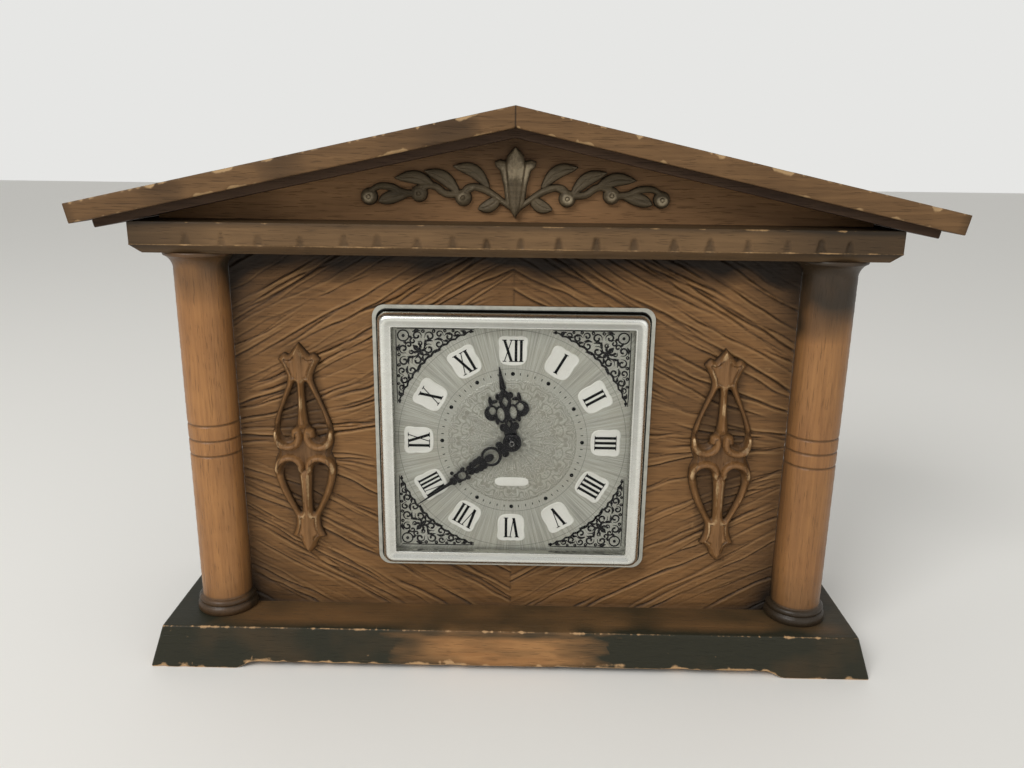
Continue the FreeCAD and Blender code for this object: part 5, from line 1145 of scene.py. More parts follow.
def make_spray():
    """The gable's ornament: bands, leaves and berries, each with its own rounded height, and
    the highest of them counts at each point."""
    wide, tall, foot = 72.4, 32.6, GABLE_Z + 1.8
    palm = np.array([(0.0, 1.0), (0.030, 0.94), (0.055, 0.87), (0.062, 0.80), (0.100, 0.825),
                     (0.135, 0.79), (0.128, 0.72), (0.10, 0.665), (0.075, 0.45),
                     (0.062, 0.20), (0.03, 0.10), (0.0, 0.0)]) * (wide, tall)
    outline = np.vstack([palm, palm[-2:0:-1] * (-1, 1)])
    stems = [[(0.035, 0.16), (0.14, 0.33), (0.225, 0.42), (0.30, 0.43), (0.345, 0.33)],
             [(0.27, 0.42), (0.36, 0.335), (0.45, 0.34), (0.52, 0.44), (0.60, 0.44),
              (0.64, 0.35)],
             [(0.57, 0.43), (0.66, 0.34), (0.73, 0.35), (0.80, 0.42), (0.88, 0.43),
              (0.94, 0.36)]]
    leaves = [[(0.17, 0.44), (0.27, 0.66), (0.393, 0.72)],
              [(0.36, 0.34), (0.46, 0.56), (0.58, 0.65)],
              [(0.52, 0.45), (0.64, 0.56), (0.77, 0.55)],
              [(0.10, 0.30), (0.16, 0.18), (0.235, 0.13)],
              [(0.66, 0.36), (0.80, 0.28), (0.88, 0.22)]]
    berries = [(0.335, 0.285), (0.62, 0.335), (0.944, 0.285)]
    kinds = ((stems, lambda t: 1.25 + 0.5 * np.sin(np.pi * t), 1.95, 0.3),
             (leaves, lambda t: 0.5 + 2.6 * np.sin(np.pi * ramp(t * 1.02)) ** 0.8, 1.725,
              -0.56))
    bands = []
    for flip in (1, -1):
        for runs, width, level, ridge in kinds:
            for run in runs:
                path = smooth_run(np.array(run) * (wide * flip, tall), 6)
                bands.append((path, width(np.linspace(0, 1, len(path))), level, ridge))

    def field(x, z):
        v = z - foot
        depth = to_outline(x, v, outline)
        petal = tent(x, 0, 1.3)
        groove = tent(np.abs(x), 3.6 + 0.12 * (v - 18), 0.6)
        height = 2.0 + rounded(depth, 2.2) * 0.95 + 0.8 * petal - 0.9 * groove
        height = np.where(depth > 0, height, 0)
        for path, widths, level, ridge in bands:
            d, gap, width = to_path(x, v, path, widths)
            crown = np.sqrt(ramp(1 - (gap / np.maximum(width, 0.1)) ** 2))
            vein = ramp(1 - gap / 0.5)
            h = 1.3 + level * crown + ridge * vein
            height = np.where(d > 0, np.maximum(height, h), height)
            depth = np.maximum(depth, d)
        for bu, bv in berries:
            for flip in (1, -1):
                d = 4.0 - np.hypot(x - bu * wide * flip, v - bv * tall)
                h = 1.0 + 0.875 * rounded(d, 4.0) - 0.9 * tent(d, 3.1, 0.45)
                height = np.where(d > 0, np.maximum(height, h), height)
                depth = np.maximum(depth, d)
        return depth, np.clip(height, 0.8, 5.2)

    made = relief(field, -wide - 5, wide + 5, foot - 1, foot + tall + 1, 0.36,
                  GABLE_FACE_Y)
    height = GABLE_FACE_Y - made.points[:, 1]
    # Pale on the highest ridges: a little rubbing and a painted highlight
    rub = 0.6 + 0.8 * mottle(made.points[:, 0], made.points[:, 2], 7, 12)
    made.marks["wear"] = np.clip((height - 2.8) * 0.5, 0, 0.7) * np.clip(rub, 0.1, 1.2)
    # Painted shade along the cut edges and on the low ground between the leaves
    made.marks["cavity"] = (0.8 * ramp(1 - made.inside / 0.5)
                            + 0.6 * ramp((2.6 - height) / 1.4))
    add_piece("leaf_and_berry_spray", made, "case", "spray_pine_olive_stain",
              ["pediment_spray"], 50)


def make_back_screws():
    """Domed heads, each a quarter circle turned round, with a slot cut across by lowering
    the points near the slot's line."""
    heads = []
    spots = [(side * (PANEL_HALF - 5.0), z) for side in (-1, 1) for z in (31.0, 114.25, 197.5)]
    rng = np.random.default_rng(5)
    reach, turn = np.linspace(0.04, 1, 16)[:, None], turns(48)
    for x, z in spots:
        px, pz = 3.0 * reach * np.cos(turn), 3.0 * reach * np.sin(turn)
        angle = rng.uniform(0, np.pi)
        across = np.abs(px * math.cos(angle) + pz * math.sin(angle))
        height = 1.6 * np.sqrt(1 - (reach * 0.97) ** 2) - 0.75 * (across < 0.42)
        height = np.clip(height, 0.12, None)
        crown = beside(x + px, BACK_Y + height, z + pz)
        foot = crown[-1:].copy()
        foot[..., 1] = BACK_Y
        heads.append(skin(np.concatenate([crown, foot])))
    add_piece("slotted_back_screws", join(heads), "case",
              "screw_steel_zinc_plated", ["back_screws"], 30)


# Dial and bezel

def square_path(half, radius, count=24, bend=6):
    """Points round a square with rounded corners, the same number whatever its size: one
    side and one corner, turned to all four."""
    side, corner = np.linspace(-1, 1, count)[:-1], np.linspace(0, np.pi / 2, bend + 1)[:-1]
    middle = half - radius
    quarter = np.vstack([beside(half, side * middle), circle((middle, middle), radius, corner)])
    return np.vstack([quarter @ ((c, s), (-s, c))
                      for c, s in ((1, 0), (0, 1), (-1, 0), (0, -1))])


# Inset from the outer edge, rise and corner radius of each ring of the bezel
BEZEL_PROFILE = [(-0.6, 0.0, 5.0), (-0.6, 0.4, 5.0), (-0.4, 0.7, 4.9), (0.0, 1.0, 4.6),
                 (0.10, 2.2, 4.6), (0.38, 3.5, 4.5), (0.85, 4.7, 4.3), (1.5, 5.6, 4.0),
                 (2.2, 6.1, 3.6), (2.9, 6.3, 3.2), (3.5, 6.22, 2.8), (4.4, 5.96, 2.2),
                 (5.6, 5.44, 1.5), (6.2, 5.36, 1.1), (6.6, 5.5, 0.9), (6.95, 5.4, 0.7),
                 (7.1, 5.1, 0.5), (7.1, 1.0, 0.4), (4.0, 0.4, 0.5), (3.2, 0.0, 0.6)]


def make_bezel():
    """The pillow-shaped frame: a profile of (inset, rise, corner radius) carried round a
    rounded square. The rise runs forwards from the gasket. A grey tone is painted in the hollow
    of its bevel, most at the top and the right, as a painted reflection; its outer foot and its
    inner edge are darkened as painted shade."""
    rings, painted_shading = [], []
    for inset, rise, corner in BEZEL_PROFILE:
        path = square_path(BEZEL_HALF - inset, corner)
        rings.append((path + HUB, GASKET_Y - rise))
        # Painted reflection tone across the bevel, strongest at the top and the right; painted
        # shade at the outer foot and the inner edge
        film = 0.10 + 0.32 * ramp((path[:, 1] + 0.6 * path[:, 0]) / 60.0)
        painted_shading.append(film if 4.2 < inset < 6.3 else
                     np.full(len(path), 1.0 if inset < 0.3 else 0.3 * (inset > 6.9)))
    add_piece("pillow_bezel", skin(stacked(rings), True, cavity=np.stack(painted_shading)), "case",
              "bezel_aluminium_satin", ["bezel_frame"], 50)


def flat_shape(outline, level, thick):
    """A thin plate from a closed outline, in front of a level."""
    outline = np.asarray(outline, float)
    return skin(stacked([(outline, level - thick), (outline, level)]))


def turned_about(outline, bearing, reach):
    """An outline drawn upright about its own centre, moved to a place on the dial and
    turned so that its foot points to the hub; bearing is in degrees from 12, clockwise."""
    angle = math.radians(bearing)
    u, v = np.asarray(outline, float).T
    v = v + reach
    return beside(HUB[0] + u * math.cos(angle) + v * math.sin(angle),
                  HUB[1] - u * math.sin(angle) + v * math.cos(angle))


def stroke(x0, x1, thick, top=5.3, foot=-5.3):
    """A leaning stem from its foot to its top with serifs: three flat outlines."""
    stem = [(x0 - thick / 2, foot), (x0 + thick / 2, foot), (x1 + thick / 2, top),
            (x1 - thick / 2, top)]
    serif = max(thick / 2 + 0.5, 0.95)
    caps = [[(x - serif, y - 0.2), (x + serif, y - 0.2), (x + serif, y + 0.2),
             (x - serif, y + 0.2)] for x, y in ((x0, foot), (x1, top))]
    return [stem] + caps


def numeral_strokes(text):
    """Roman numerals from leaning stems, with the letters' usual thick and thin strokes."""
    widths = {"I": 2.6, "V": 5.2, "X": 5.4}
    total = sum(widths[c] for c in text)
    squeeze = min(1.0, 10.4 / total)
    at, outlines = -total / 2, []
    for letter in text:
        middle = at + widths[letter] / 2
        if letter == "I":
            outlines += stroke(middle, middle, 1.35)
        elif letter == "V":
            thick, thin = stroke(middle, middle - 1.8, 1.4), stroke(middle, middle + 1.8, 0.45)
            outlines += [thick[0], thin[0], thick[2], thin[2]]
        else:
            outlines += stroke(middle + 1.75, middle - 1.75, 1.4)
            outlines += stroke(middle - 1.75, middle + 1.75, 0.45)
        at += widths[letter]
    return [[(u * squeeze, v) for u, v in shape] for shape in outlines]


# The numerals clockwise from the top, and the right half of the plate behind each
HOURS = ["XII", "I", "II", "III", "IIII", "V", "VI", "VII", "VIII", "IX", "X", "XI"]
CARTOUCHE = [(0.0, 7.5), (1.6, 7.3), (3.4, 7.55), (5.2, 7.35), (6.6, 6.6), (7.2, 5.2),
             (7.1, 3.4), (6.8, 1.6), (6.9, -0.4), (6.9, -2.4), (6.6, -4.4), (5.8, -6.0),
             (4.4, -7.0), (2.4, -7.35), (0.0, -7.5)]


def make_chapters(shapes):
    """Twelve raised cartouches, each a ring-by-ring crown over one outline, with numerals."""
    half = np.array(CARTOUCHE)
    outline = smooth_run(np.vstack([half, half[-2:0:-1] * (-1, 1)]), 3, True)
    plates, numerals = [], []
    for hour, text in enumerate(HOURS):
        rings = [(turned_about(outline * share, hour * 30, HOUR_RING), DIAL_Y - rise)
                 for share, rise in ((1.0, 0.0), (0.985, 0.30), (0.95, 0.44), (0.90, 0.40),
                                     (0.86, 0.26), (0.80, 0.24), (0.4, 0.26), (0.04, 0.26))]
        plates.append(skin(stacked(rings)))
        for shape in numeral_strokes(text):
            at = turned_about(np.array(shape) * (1, shapes.numeral_height / MM / 10.6),
                              hour * 30, HOUR_RING)
            numerals.append(flat_shape(at, DIAL_Y - 0.25, 0.12))
    add_piece("hour_cartouches", join(plates), "case", "cartouche_silver_satin",
              crease=40)
    add_piece("hour_numerals", join(numerals), "case", "print_black_ink")


def ring_band(sections, steps=180):
    """A ring on the dial: its section's corners as radius and level, carried round."""
    return skin(stacked([(circle(HUB, r, turns(steps)), y) for r, y in sections]), True)


def disc(radius, at, level, thick, steps=16):
    """A thin round plate in front of a level."""
    return flat_shape(circle(at, radius, turns(steps)), level, thick)


def make_minute_track():
    """Hour dots and minute ticks on one circle, two fine circles and the raised disc."""
    tick = [(-0.2, -0.6), (0.2, -0.6), (0.2, 0.6), (-0.2, 0.6)]
    ink = []
    for minute in range(60):
        if minute % 5 == 0:
            place = turned_about([(0, 0)], minute * 6, MINUTE_RING)[0]
            ink.append(disc(1.0, place, DIAL_Y, 0.10, 20))
        else:
            ink.append(flat_shape(turned_about(tick, minute * 6, MINUTE_RING), DIAL_Y, 0.08))
    add_piece("minute_track", join(ink), "case", "print_black_ink")
    top = DIAL_Y - 0.05
    lines = [ring_band(((r, DIAL_Y), (r, top), (r + 0.2, top), (r + 0.2, DIAL_Y)))
             for r in (57.0, 37.6)]
    add_piece("fine_circles", join(lines), "case", "print_grey_ink")
    section = ((32.4, 0.0), (32.2, 0.16), (31.4, 0.18), (18.0, 0.18), (5.2, 0.18), (5.0, 0.0))
    raised = ring_band([(radius, DIAL_Y - rise) for radius, rise in section], 96)
    add_piece("engraved_disc", raised, "case", "disc_silvered_engraved",
              crease=40)


def ribbon(points, widths, level, rise, per=7):
    """A curved strip: a smooth line with a half width along it, and a low crown across."""
    path = smooth_run(points, per)
    t = np.linspace(0, 1, len(path))
    half = np.interp(t, np.linspace(0, 1, len(widths)), widths)
    along = np.gradient(path, axis=0)
    along = along / np.maximum(np.linalg.norm(along, axis=1, keepdims=True), 1e-9)
    aside = beside(-along[:, 1], along[:, 0])
    rows = [(path + aside * (half * across)[:, None], level - rise * up)
            for across, up in ((-1, 0.0), (-0.9, 0.7), (0, 1.0), (0.9, 0.7), (1, 0.0))]
    return skin(stacked(rows).swapaxes(0, 1))


# Corner ornament in millimetres inwards from the corner of the dial, x and z, one half;
# the other half is its mirror image about the diagonal. Spirals: centre x and z, radius,
# the angle at which it starts in degrees, and which way round. Leaves: foot and tip.
CORNER_SPIRALS = [
    (33.6, 2.1, 1.1, 200, 1), (30.2, 3.0, 1.6, 30, -1), (26.2, 4.3, 2.2, 190, 1),
    (21.7, 3.1, 1.9, 20, -1), (21.4, 8.0, 2.3, 250, 1), (16.8, 4.2, 2.5, 160, 1),
    (16.4, 10.6, 2.8, 300, -1), (10.6, 4.0, 2.4, 30, -1), (6.6, 8.6, 1.7, 120, 1),
    (12.0, 7.9, 1.3, 220, 1), (37.0, 1.7, 0.75, 30, -1), (19.0, 1.6, 0.9, 60, 1),
    (24.2, 1.4, 0.8, 100, -1), (28.4, 1.3, 0.7, 60, 1), (13.6, 1.6, 0.9, 200, -1)]
CORNER_LEAVES = [
    ((11.5, 11.5), (9.6, 15.6)), ((11.5, 11.5), (13.8, 14.6)), ((11.5, 11.5), (7.6, 11.9)),
    ((11.5, 11.5), (8.6, 8.6)), ((19.2, 6.0), (23.6, 6.0)), ((14.2, 7.0), (18.6, 6.6)),
    ((24.4, 3.0), (28.6, 3.6)), ((19.2, 12.6), (22.6, 10.9)), ((13.6, 13.6), (17.4, 14.0)),
    ((28.4, 3.9), (31.4, 4.3)), ((23.4, 6.4), (26.6, 7.2)), ((8.4, 2.2), (12.4, 1.4)),
    ((14.6, 5.8), (14.0, 9.0)), ((31.8, 1.3), (35.0, 2.9)), ((6.2, 4.0), (8.2, 6.0))]


def make_corner_ornaments():
    """Four pierced corner ornaments: spirals r = R (1 - 0.72 t) with a tapering width, short
    leaves, a ring in the corner, and a bold scalloped edge along the arc of radius 60 mm
    with a thin line along the straight sides."""
    forms = []
    t = np.linspace(0, 1, 9)
    for corner in ((-1, 1), (1, 1), (1, -1), (-1, -1)):

        def curve(points, widths, rise, per, swap=False):
            """A ribbon drawn in from the corner; a swapped one is its mirror image."""
            inwards = np.asarray(points, float)[:, ::-1 if swap else 1]
            path = (DIAL_HALF - inwards) * corner + HUB
            forms.append(ribbon(path, widths, DIAL_Y, rise, per))

        for swap in (False, True):
            for u, v, radius, start, way in CORNER_SPIRALS:
                angle = math.radians(start) + way * t * 2 * np.pi * 1.15
                thick = 0.30 + 0.07 * radius
                curve(circle((u, v), radius * (1 - 0.72 * t), angle),
                      [0.12, thick, thick, thick * 1.1], 0.22, 3, swap)
            for (u0, v0), (u1, v1) in CORNER_LEAVES:
                bend = ((u0 + u1) / 2 + 0.14 * (v1 - v0), (v0 + v1) / 2 - 0.14 * (u1 - u0))
                curve([(u0, v0), bend, (u1, v1)], [0.2, 0.75, 0.1], 0.26, 4, swap)
            curve([(1.2, 0.5), (10, 0.42), (20, 0.5), (30, 0.42), (38.4, 0.6)],
                  [0.2, 0.26, 0.26, 0.2], 0.18, 4, swap)
        turn = np.radians(np.linspace(19.0, 71.0, 67))
        lobes = np.abs(np.sin(np.linspace(0, 11 * np.pi, 67)))
        curve(circle((DIAL_HALF, DIAL_HALF), -59.2 - 0.75 * lobes, turn),
              [0.35, 0.6, 0.6, 0.35], 0.30, 1)
        for place, radius in (((4.0, 4.0), 2.7), ((11.5, 11.5), 1.1)):
            curve(circle(place, radius, np.linspace(0, 2 * np.pi, 17)), [0.36, 0.36], 0.26, 2)
        middle = (DIAL_HALF - 4.0) * np.array(corner) + HUB
        forms.append(disc(0.8, middle, DIAL_Y, 0.3, 14))
    add_piece("corner_filigree", join(forms), "case", "hands_black_enamel",
              crease=50)


def make_bare_plaque():
    """The small plate with rounded ends under the centre, left bare."""
    t = np.sin(np.linspace(-np.pi / 2, np.pi / 2, 25))
    upper = beside(t * 8.6, 2.35 * np.sqrt(1 - t ** 6))
    outline = np.vstack([upper, upper[-2:0:-1] * (1, -1)])
    rings = [(outline * share + (HUB[0], HUB[1] - 21.5), DIAL_Y - rise)
             for share, rise in ((1.0, 0.18), (0.93, 0.34), (0.8, 0.38), (0.05, 0.38))]
    add_piece("bare_plaque", skin(stacked(rings)), "case",
              "cartouche_silver_satin", crease=40)


# Hands

# The hands' shapes: kind, place along and aside of the middle line, and half sizes along and
# aside. A spine gives a half width at places along the hand
HOUR_SOLIDS = [("oval", 16.6, 7.4, 4.0, 3.8), ("oval", 8.3, 3.2, 2.0, 1.7),
               ("oval", 24.4, 3.2, 1.7, 1.3), ("oval", 22.4, 7.2, 2.9, 1.0),
               ("oval", 28.7, 0.0, 1.4, 1.6), ("oval", 15.3, 3.0, 4.5, 2.9),
               ("oval", 12.0, 5.4, 1.8, 1.0), ("oval", 22.2, 5.5, 0.9, 1.9)]
HOUR_CUTS = [("oval", 15.3, 3.1, 3.3, 1.75), ("oval", 17.7, 7.0, 2.0, 1.6),
             ("diamond", 9.7, 0.0, 1.9, 0.8), ("diamond", 21.4, 0.0, 2.6, 1.45)]
HOUR_SPINE = [(0.0, 2.9), (7.5, 3.2), (10.0, 2.1), (13.0, 1.3), (17.3, 1.9), (21.5, 3.2),
              (25.5, 2.6), (27.5, 1.0), (29.2, 1.45), (39.4, 0.32)]
MINUTE_SOLIDS = [("oval", 5.9, 3.0, 1.8, 1.6), ("oval", 12.6, 0.0, 5.3, 5.2),
                 ("oval", 18.3, 2.5, 1.5, 1.25), ("oval", 20.7, 2.6, 1.5, 1.2),
                 ("oval", 23.2, 2.3, 1.4, 1.15), ("oval", 25.5, 1.7, 1.3, 1.0),
                 ("oval", 30.7, 0.0, 3.2, 3.0), ("oval", 28.6, 2.7, 1.3, 1.0),
                 ("oval", 33.4, 1.9, 1.3, 0.9), ("oval", 36.1, 1.2, 1.4, 1.0)]
MINUTE_CUTS = [("oval", 12.7, 0.0, 3.9, 3.8), ("oval", 30.7, 0.0, 2.0, 1.8),
               ("diamond", 21.6, 0.0, 2.2, 0.5)]
MINUTE_DOTS = [("oval", 14.0, 0.0, 2.7, 1.9)]
MINUTE_SPINE = [(0.0, 2.6), (7.0, 2.2), (9.0, 1.1), (12.0, 1.0), (17.0, 2.4), (22.0, 2.7),
                (26.0, 1.7), (29.0, 0.8), (33.0, 0.8), (36.2, 1.7), (38.5, 0.9), (58.4, 0.22)]


def hand_field(spine, solids, cuts, dots, bore, bearing):
    """Depth inside a pierced hand. u runs along it and v aside; shapes stand on both sides
    of its middle. Depth is the greatest over the solids, then the least with each hole."""
    angle = math.radians(bearing)
    places, halves = np.array(spine).T

    def shape(kind, cu, cv, along, across, u, v):
        """Depth inside a diamond or an ellipse, in millimetres near its edge."""
        if kind == "diamond":
            return (1 - np.abs(u - cu) / along - np.abs(v - cv) / across) * across * 0.7
        return (1 - np.hypot((u - cu) / along, (v - cv) / across)) * min(along, across)

    def field(x, z):
        dx, dz = x - HUB[0], z - HUB[1]
        u = dx * math.cos(angle) + dz * math.sin(angle)
        v = np.abs(-dx * math.sin(angle) + dz * math.cos(angle))
        depth = np.minimum(np.interp(u, places, halves) - v,
                           np.minimum(u + 0.01, places[-1] - u))
        depth = np.maximum(depth, 4.7 - np.hypot(u, v))
        for row in solids:
            depth = np.maximum(depth, shape(*row, u, v))
        for row in cuts:
            depth = np.minimum(depth, -shape(*row, u, v))
        for row in dots:
            depth = np.maximum(depth, shape(*row, u, v))
        depth = np.minimum(depth, np.hypot(u, v) - bore)
        return depth, 0.22 + rounded(depth, 0.45) * 0.6
    return field


def make_hands():
    """Both hands, stamped, with rolled edges, turned to the time at which the clock stands.
    Each is cut from a window x0, x1, z0, z1 about the hub."""
    for word, drawn, bore, bearing, window, level in (
            ("hour", (HOUR_SPINE, HOUR_SOLIDS, HOUR_CUTS, []), 2.85, 99.9,
             (-17.5, 12.0, HUB[1] - 6, HUB[1] + 40), HOUR_HAND_Y),
            ("minute", (MINUTE_SPINE, MINUTE_SOLIDS, MINUTE_CUTS, MINUTE_DOTS), 1.22, -144.6,
             (-50.5, 6.0, HUB[1] - 37.5, HUB[1] + 6), MINUTE_HAND_Y)):
        made = relief(hand_field(*drawn, bore, bearing), *window, 0.16, level)
        add_piece("pierced_" + word + "_hand", made, word + "_set",
                  "hands_black_enamel", [word + "_hand"], 50)


def make_hub_cap():
    """The domed nut over the end of the centre arbor: a stepped dome with a fine groove."""
    profile = [(0.03, 1.25), (0.7, 1.2), (1.3, 1.0), (1.75, 0.7), (1.9, 0.45), (2.05, 0.5),
               (2.5, 0.4), (2.7, 0.2), (2.75, 0.0), (0.03, 0.0)]
    profile = [(r, -h) for r, h in profile]
    add_piece("domed_hand_nut", lathe(profile, (HUB[0], NUT_Y, HUB[1]), "y", 48), "minute_set",
              "hands_black_enamel", ["hand_nut"], 40)


# Movement details

def lathe(profile, centre, axis, steps=64):
    """A profile of (radius, distance) turned about a line along Y or X through a centre."""
    r, d = np.asarray(profile, float).T[:, :, None]
    aside, up = r * np.cos(turns(steps)), centre[2] + r * np.sin(turns(steps))
    if axis == "y":
        return skin(beside(centre[0] + aside, centre[1] + d, up))
    return skin(beside(centre[0] + d, centre[1] + aside, up))


def make_battery():
    """A cell with a rolled bead at each end, an insulating ring and a pressed cap."""
    profile = [(0.05, -24.6), (4.5, -24.6), (5.0, -25.0), (11.6, -25.0), (12.3, -24.9),
               (12.9, -24.5), (13.1, -23.9), (13.1, -23.0), (12.95, -22.6), (13.1, -22.2),
               (13.1, 9.6), (13.04, 9.8), (13.1, 10.0), (13.1, 21.4), (12.9, 21.9),
               (13.1, 22.4), (13.1, 23.0), (12.7, 23.5), (11.9, 23.5), (11.5, 23.0),
               (5.2, 23.0), (4.2, 23.3), (3.4, 23.6), (3.2, 24.2), (3.1, 24.8), (2.7, 25.0),
               (0.05, 25.0)]
    add_piece("battery_cell_jacket", lathe(profile, (0, BATTERY[0], BATTERY[1]), "x"),
              "battery_cell", "battery_jacket_blue", ["battery"], 35)


def make_knob():
    """The fluted setting knob: radius r = 5.65 + 0.35 cos(16 angle), its back dished."""
    turn = turns(192)
    rings = []
    for share, d, flute in ((0.0, 0.0, 0.0), (0.9, 0.0, 0.4), (1.0, 0.7, 1.0), (1.0, 7.2, 1.0),
                            (0.93, 7.9, 0.7), (0.82, 8.0, 0.0), (0.72, 7.4, 0.0),
                            (0.3, 7.2, 0.0), (0.01, 7.2, 0.0)):
        r = max(share, 0.01) * 5.65 + flute * 0.35 * np.cos(16 * turn)
        rings.append((circle(SETTING, r, turn), KNOB_Y + d))
    add_piece("fluted_setting_knob", skin(stacked(rings)), "setting_set",
              "knob_plastic_black", ["setting_knob"], 30)


def make_hairspring():
    """A flat strip 0.3 by 0.9 mm along the spiral r = 2.5 + 4.5 t, three turns."""
    t = np.linspace(0, 1, 260)
    angle = np.pi + 2 * np.pi * 3 * (t - 1)
    near, far = SPRING_Y, SPRING_Y + 0.9
    section = ((-0.15, near), (0.15, near), (0.15, far), (-0.15, far))
    rows = [(circle(BALANCE, 2.5 + 4.5 * t + out, angle), y) for out, y in section]
    add_piece("blued_hairspring", skin(stacked(rows).swapaxes(0, 1)), "case",
              "hairspring_steel_blued", ["hairspring"], 30)


def finish_movement():
    """CAD nodes whose shapes are right get their metals and plastics."""
    paint({
        "gasket_rubber_black": "bezel_gasket",
        "glass_flat_polished": "dial_glass",
        "dial_silvered_sunray": "dial_plate",
        "tray_styrene_silver_sprayed": "insert_tray",
        "holder_styrene_black": "battery_holder",
        "clip_spring_steel": "insert_clips",
        "plate_brass_grained": "front_plate rear_plate balance_cock",
        "wheel_brass_stamped": "plate_pillars plate_nuts centre_wheel hour_wheel minute_wheel "
                               "third_wheel escape_wheel balance_wheel regulator_lever",
        "arbor_steel_polished": "minute_wheel_post cock_screw centre_arbor cannon_pinion "
                                "setting_arbor third_arbor third_pinion escape_arbor "
                                "escape_pinion balance_staff",
        "jewel_ruby_polished": "pivot_jewels",
        "magnet_ferrite_grey": "balance_magnets",
        "coil_copper_enamelled": "drive_coil",
        "cover_styrene_clear": "dust_cover",
        "contact_nickel_plated": "battery_contacts",
        "board_phenolic_brown": "circuit_board",
        "component_case_blue": "circuit_parts"})


def finish_plain_boards():
    """The boards that stay as the frame has them."""
    paint({
        "side_pine_brown_stain": "side_panel_left side_panel_right rear_gable_panel",
        "gable_board_stain_painted_shade": "tympanum_panel",
        "lining_pine_stain_painted_shade": "roof_lining_left roof_lining_right",
        "back_hardboard": "back_panel"})


# Stage

def make_stage(lamps):
    """Camera at the photograph's viewing angle, a plain pale floor and soft light. The lamps
    and the world together light a surface at about the level at which a colour is written."""
    scene = bpy.context.scene
    scene.view_settings.view_transform = "Standard"
    ahead = Vector((math.sin(YAW) * math.cos(PITCH), math.cos(YAW) * math.cos(PITCH),
                    -math.sin(PITCH)))
    right = Vector((math.cos(YAW), -math.sin(YAW), 0))
    up = right.cross(ahead)
    x_axis = right * math.cos(ROLL) + up * math.sin(ROLL)
    y_axis = up * math.cos(ROLL) - right * math.sin(ROLL)
    camera = bpy.data.cameras.new("photo_view")
    camera.sensor_width = 36
    camera.lens = FOCAL / PICTURE_WIDTH * camera.sensor_width
    camera.clip_start, camera.clip_end = 0.01, 20
    eye = bpy.data.objects.new("photo_view", camera)
    turn = Matrix((x_axis, y_axis, -ahead)).transposed().to_4x4()
    eye.matrix_world = Matrix.Translation(Vector(EYE) * MM) @ turn
    scene.collection.objects.link(eye)
    scene.camera = eye
    mesh = bpy.data.meshes.new("floor")
    mesh.from_pydata([(-6, -6, 0), (6, -6, 0), (6, 6, 0), (-6, 6, 0)], [], [(0, 1, 2, 3)])
    floor = bpy.data.objects.new("floor", mesh)
    scene.collection.objects.link(floor)
    start_finish("floor_pale_matt", Roughness=0.6, Base_Color=linear("#F1EFEA"))
    mesh.materials.append(finishes["floor_pale_matt"])
    for name, place, aim, size, power in (
            ("key", (-0.85, -1.25, 1.35), (0, 0, 0.1), 0.8, lamps.key_power),
            ("fill", (1.1, -1.5, 0.7), (0, 0, 0.12), 1.4, lamps.fill_power)):
        lamp = bpy.data.lights.new(name, "AREA")
        lamp.size, lamp.energy = size, power
        light = bpy.data.objects.new(name, lamp)
        light.location = place
        towards = Vector(aim) - Vector(place)
        light.rotation_euler = towards.to_track_quat("-Z", "Y").to_euler()
        scene.collection.objects.link(light)
    world = bpy.data.worlds.new("pale_room")
    world.use_nodes = True
    scene.world = world
    tree = world.node_tree
    tree.nodes.clear()
    ray = add(tree, "LightPath").node
    seen = add(tree, "Math MAXIMUM", {0: ray.outputs["Is Camera Ray"],
                                      1: ray.outputs["Is Transmission Ray"]})
    strength = add(tree, "Math MULTIPLY_ADD", {0: seen, 1: 0.30, 2: lamps.room_light})
    height = add(tree, "SeparateXYZ", {0: add(tree, "TexCoord", out="Generated")}, 2)
    above = add(tree, "MapRange", {"Value": height, "From Min": -0.1, "To Max": 0.38})
    shine = add(tree, "Math MULTIPLY", {0: ray.outputs["Is Glossy Ray"], 1: above})
    strength = add(tree, "Math ADD", {0: shine, 1: strength})
    back = add(tree, "Background", {"Color": "#F1F1EF", "Strength": strength})
    add(tree, "OutputWorld", {"Surface": back})


# What a user may change

def panel_colour(name, code, description):
    """A colour in the panel, whose default is an sRGB hex code."""
    return bpy.props.FloatVectorProperty(name=name, description=description,
                                         default=linear(code), size=4, subtype="COLOR")


class ClockShapes(bpy.types.PropertyGroup):
    gouge_depth: bpy.props.FloatProperty(
        name="Gouge depth", description="Depth of the deepest gouge lines in the front board",
        default=0.0012, min=0.0, max=0.002, unit="LENGTH")
    line_depth: bpy.props.FloatProperty(
        name="Column line depth", description="Depth of the lines turned into the columns",
        default=0.0006, min=0.0, max=0.001, unit="LENGTH")
    notch_depth: bpy.props.FloatProperty(
        name="Notch depth", description="Depth of the deepest cuts along the moulding",
        default=0.0013, min=0.0, max=0.002, unit="LENGTH")
    edge_wear: bpy.props.FloatProperty(
        name="Edge wear", description="Share of the chips and scrapes along the edges",
        default=1.0, min=0.0, max=1.5, subtype="FACTOR")
    numeral_height: bpy.props.FloatProperty(
        name="Numeral height", description="Height of the hour numerals on the dial",
        default=0.0106, min=0.006, max=0.012, unit="LENGTH")


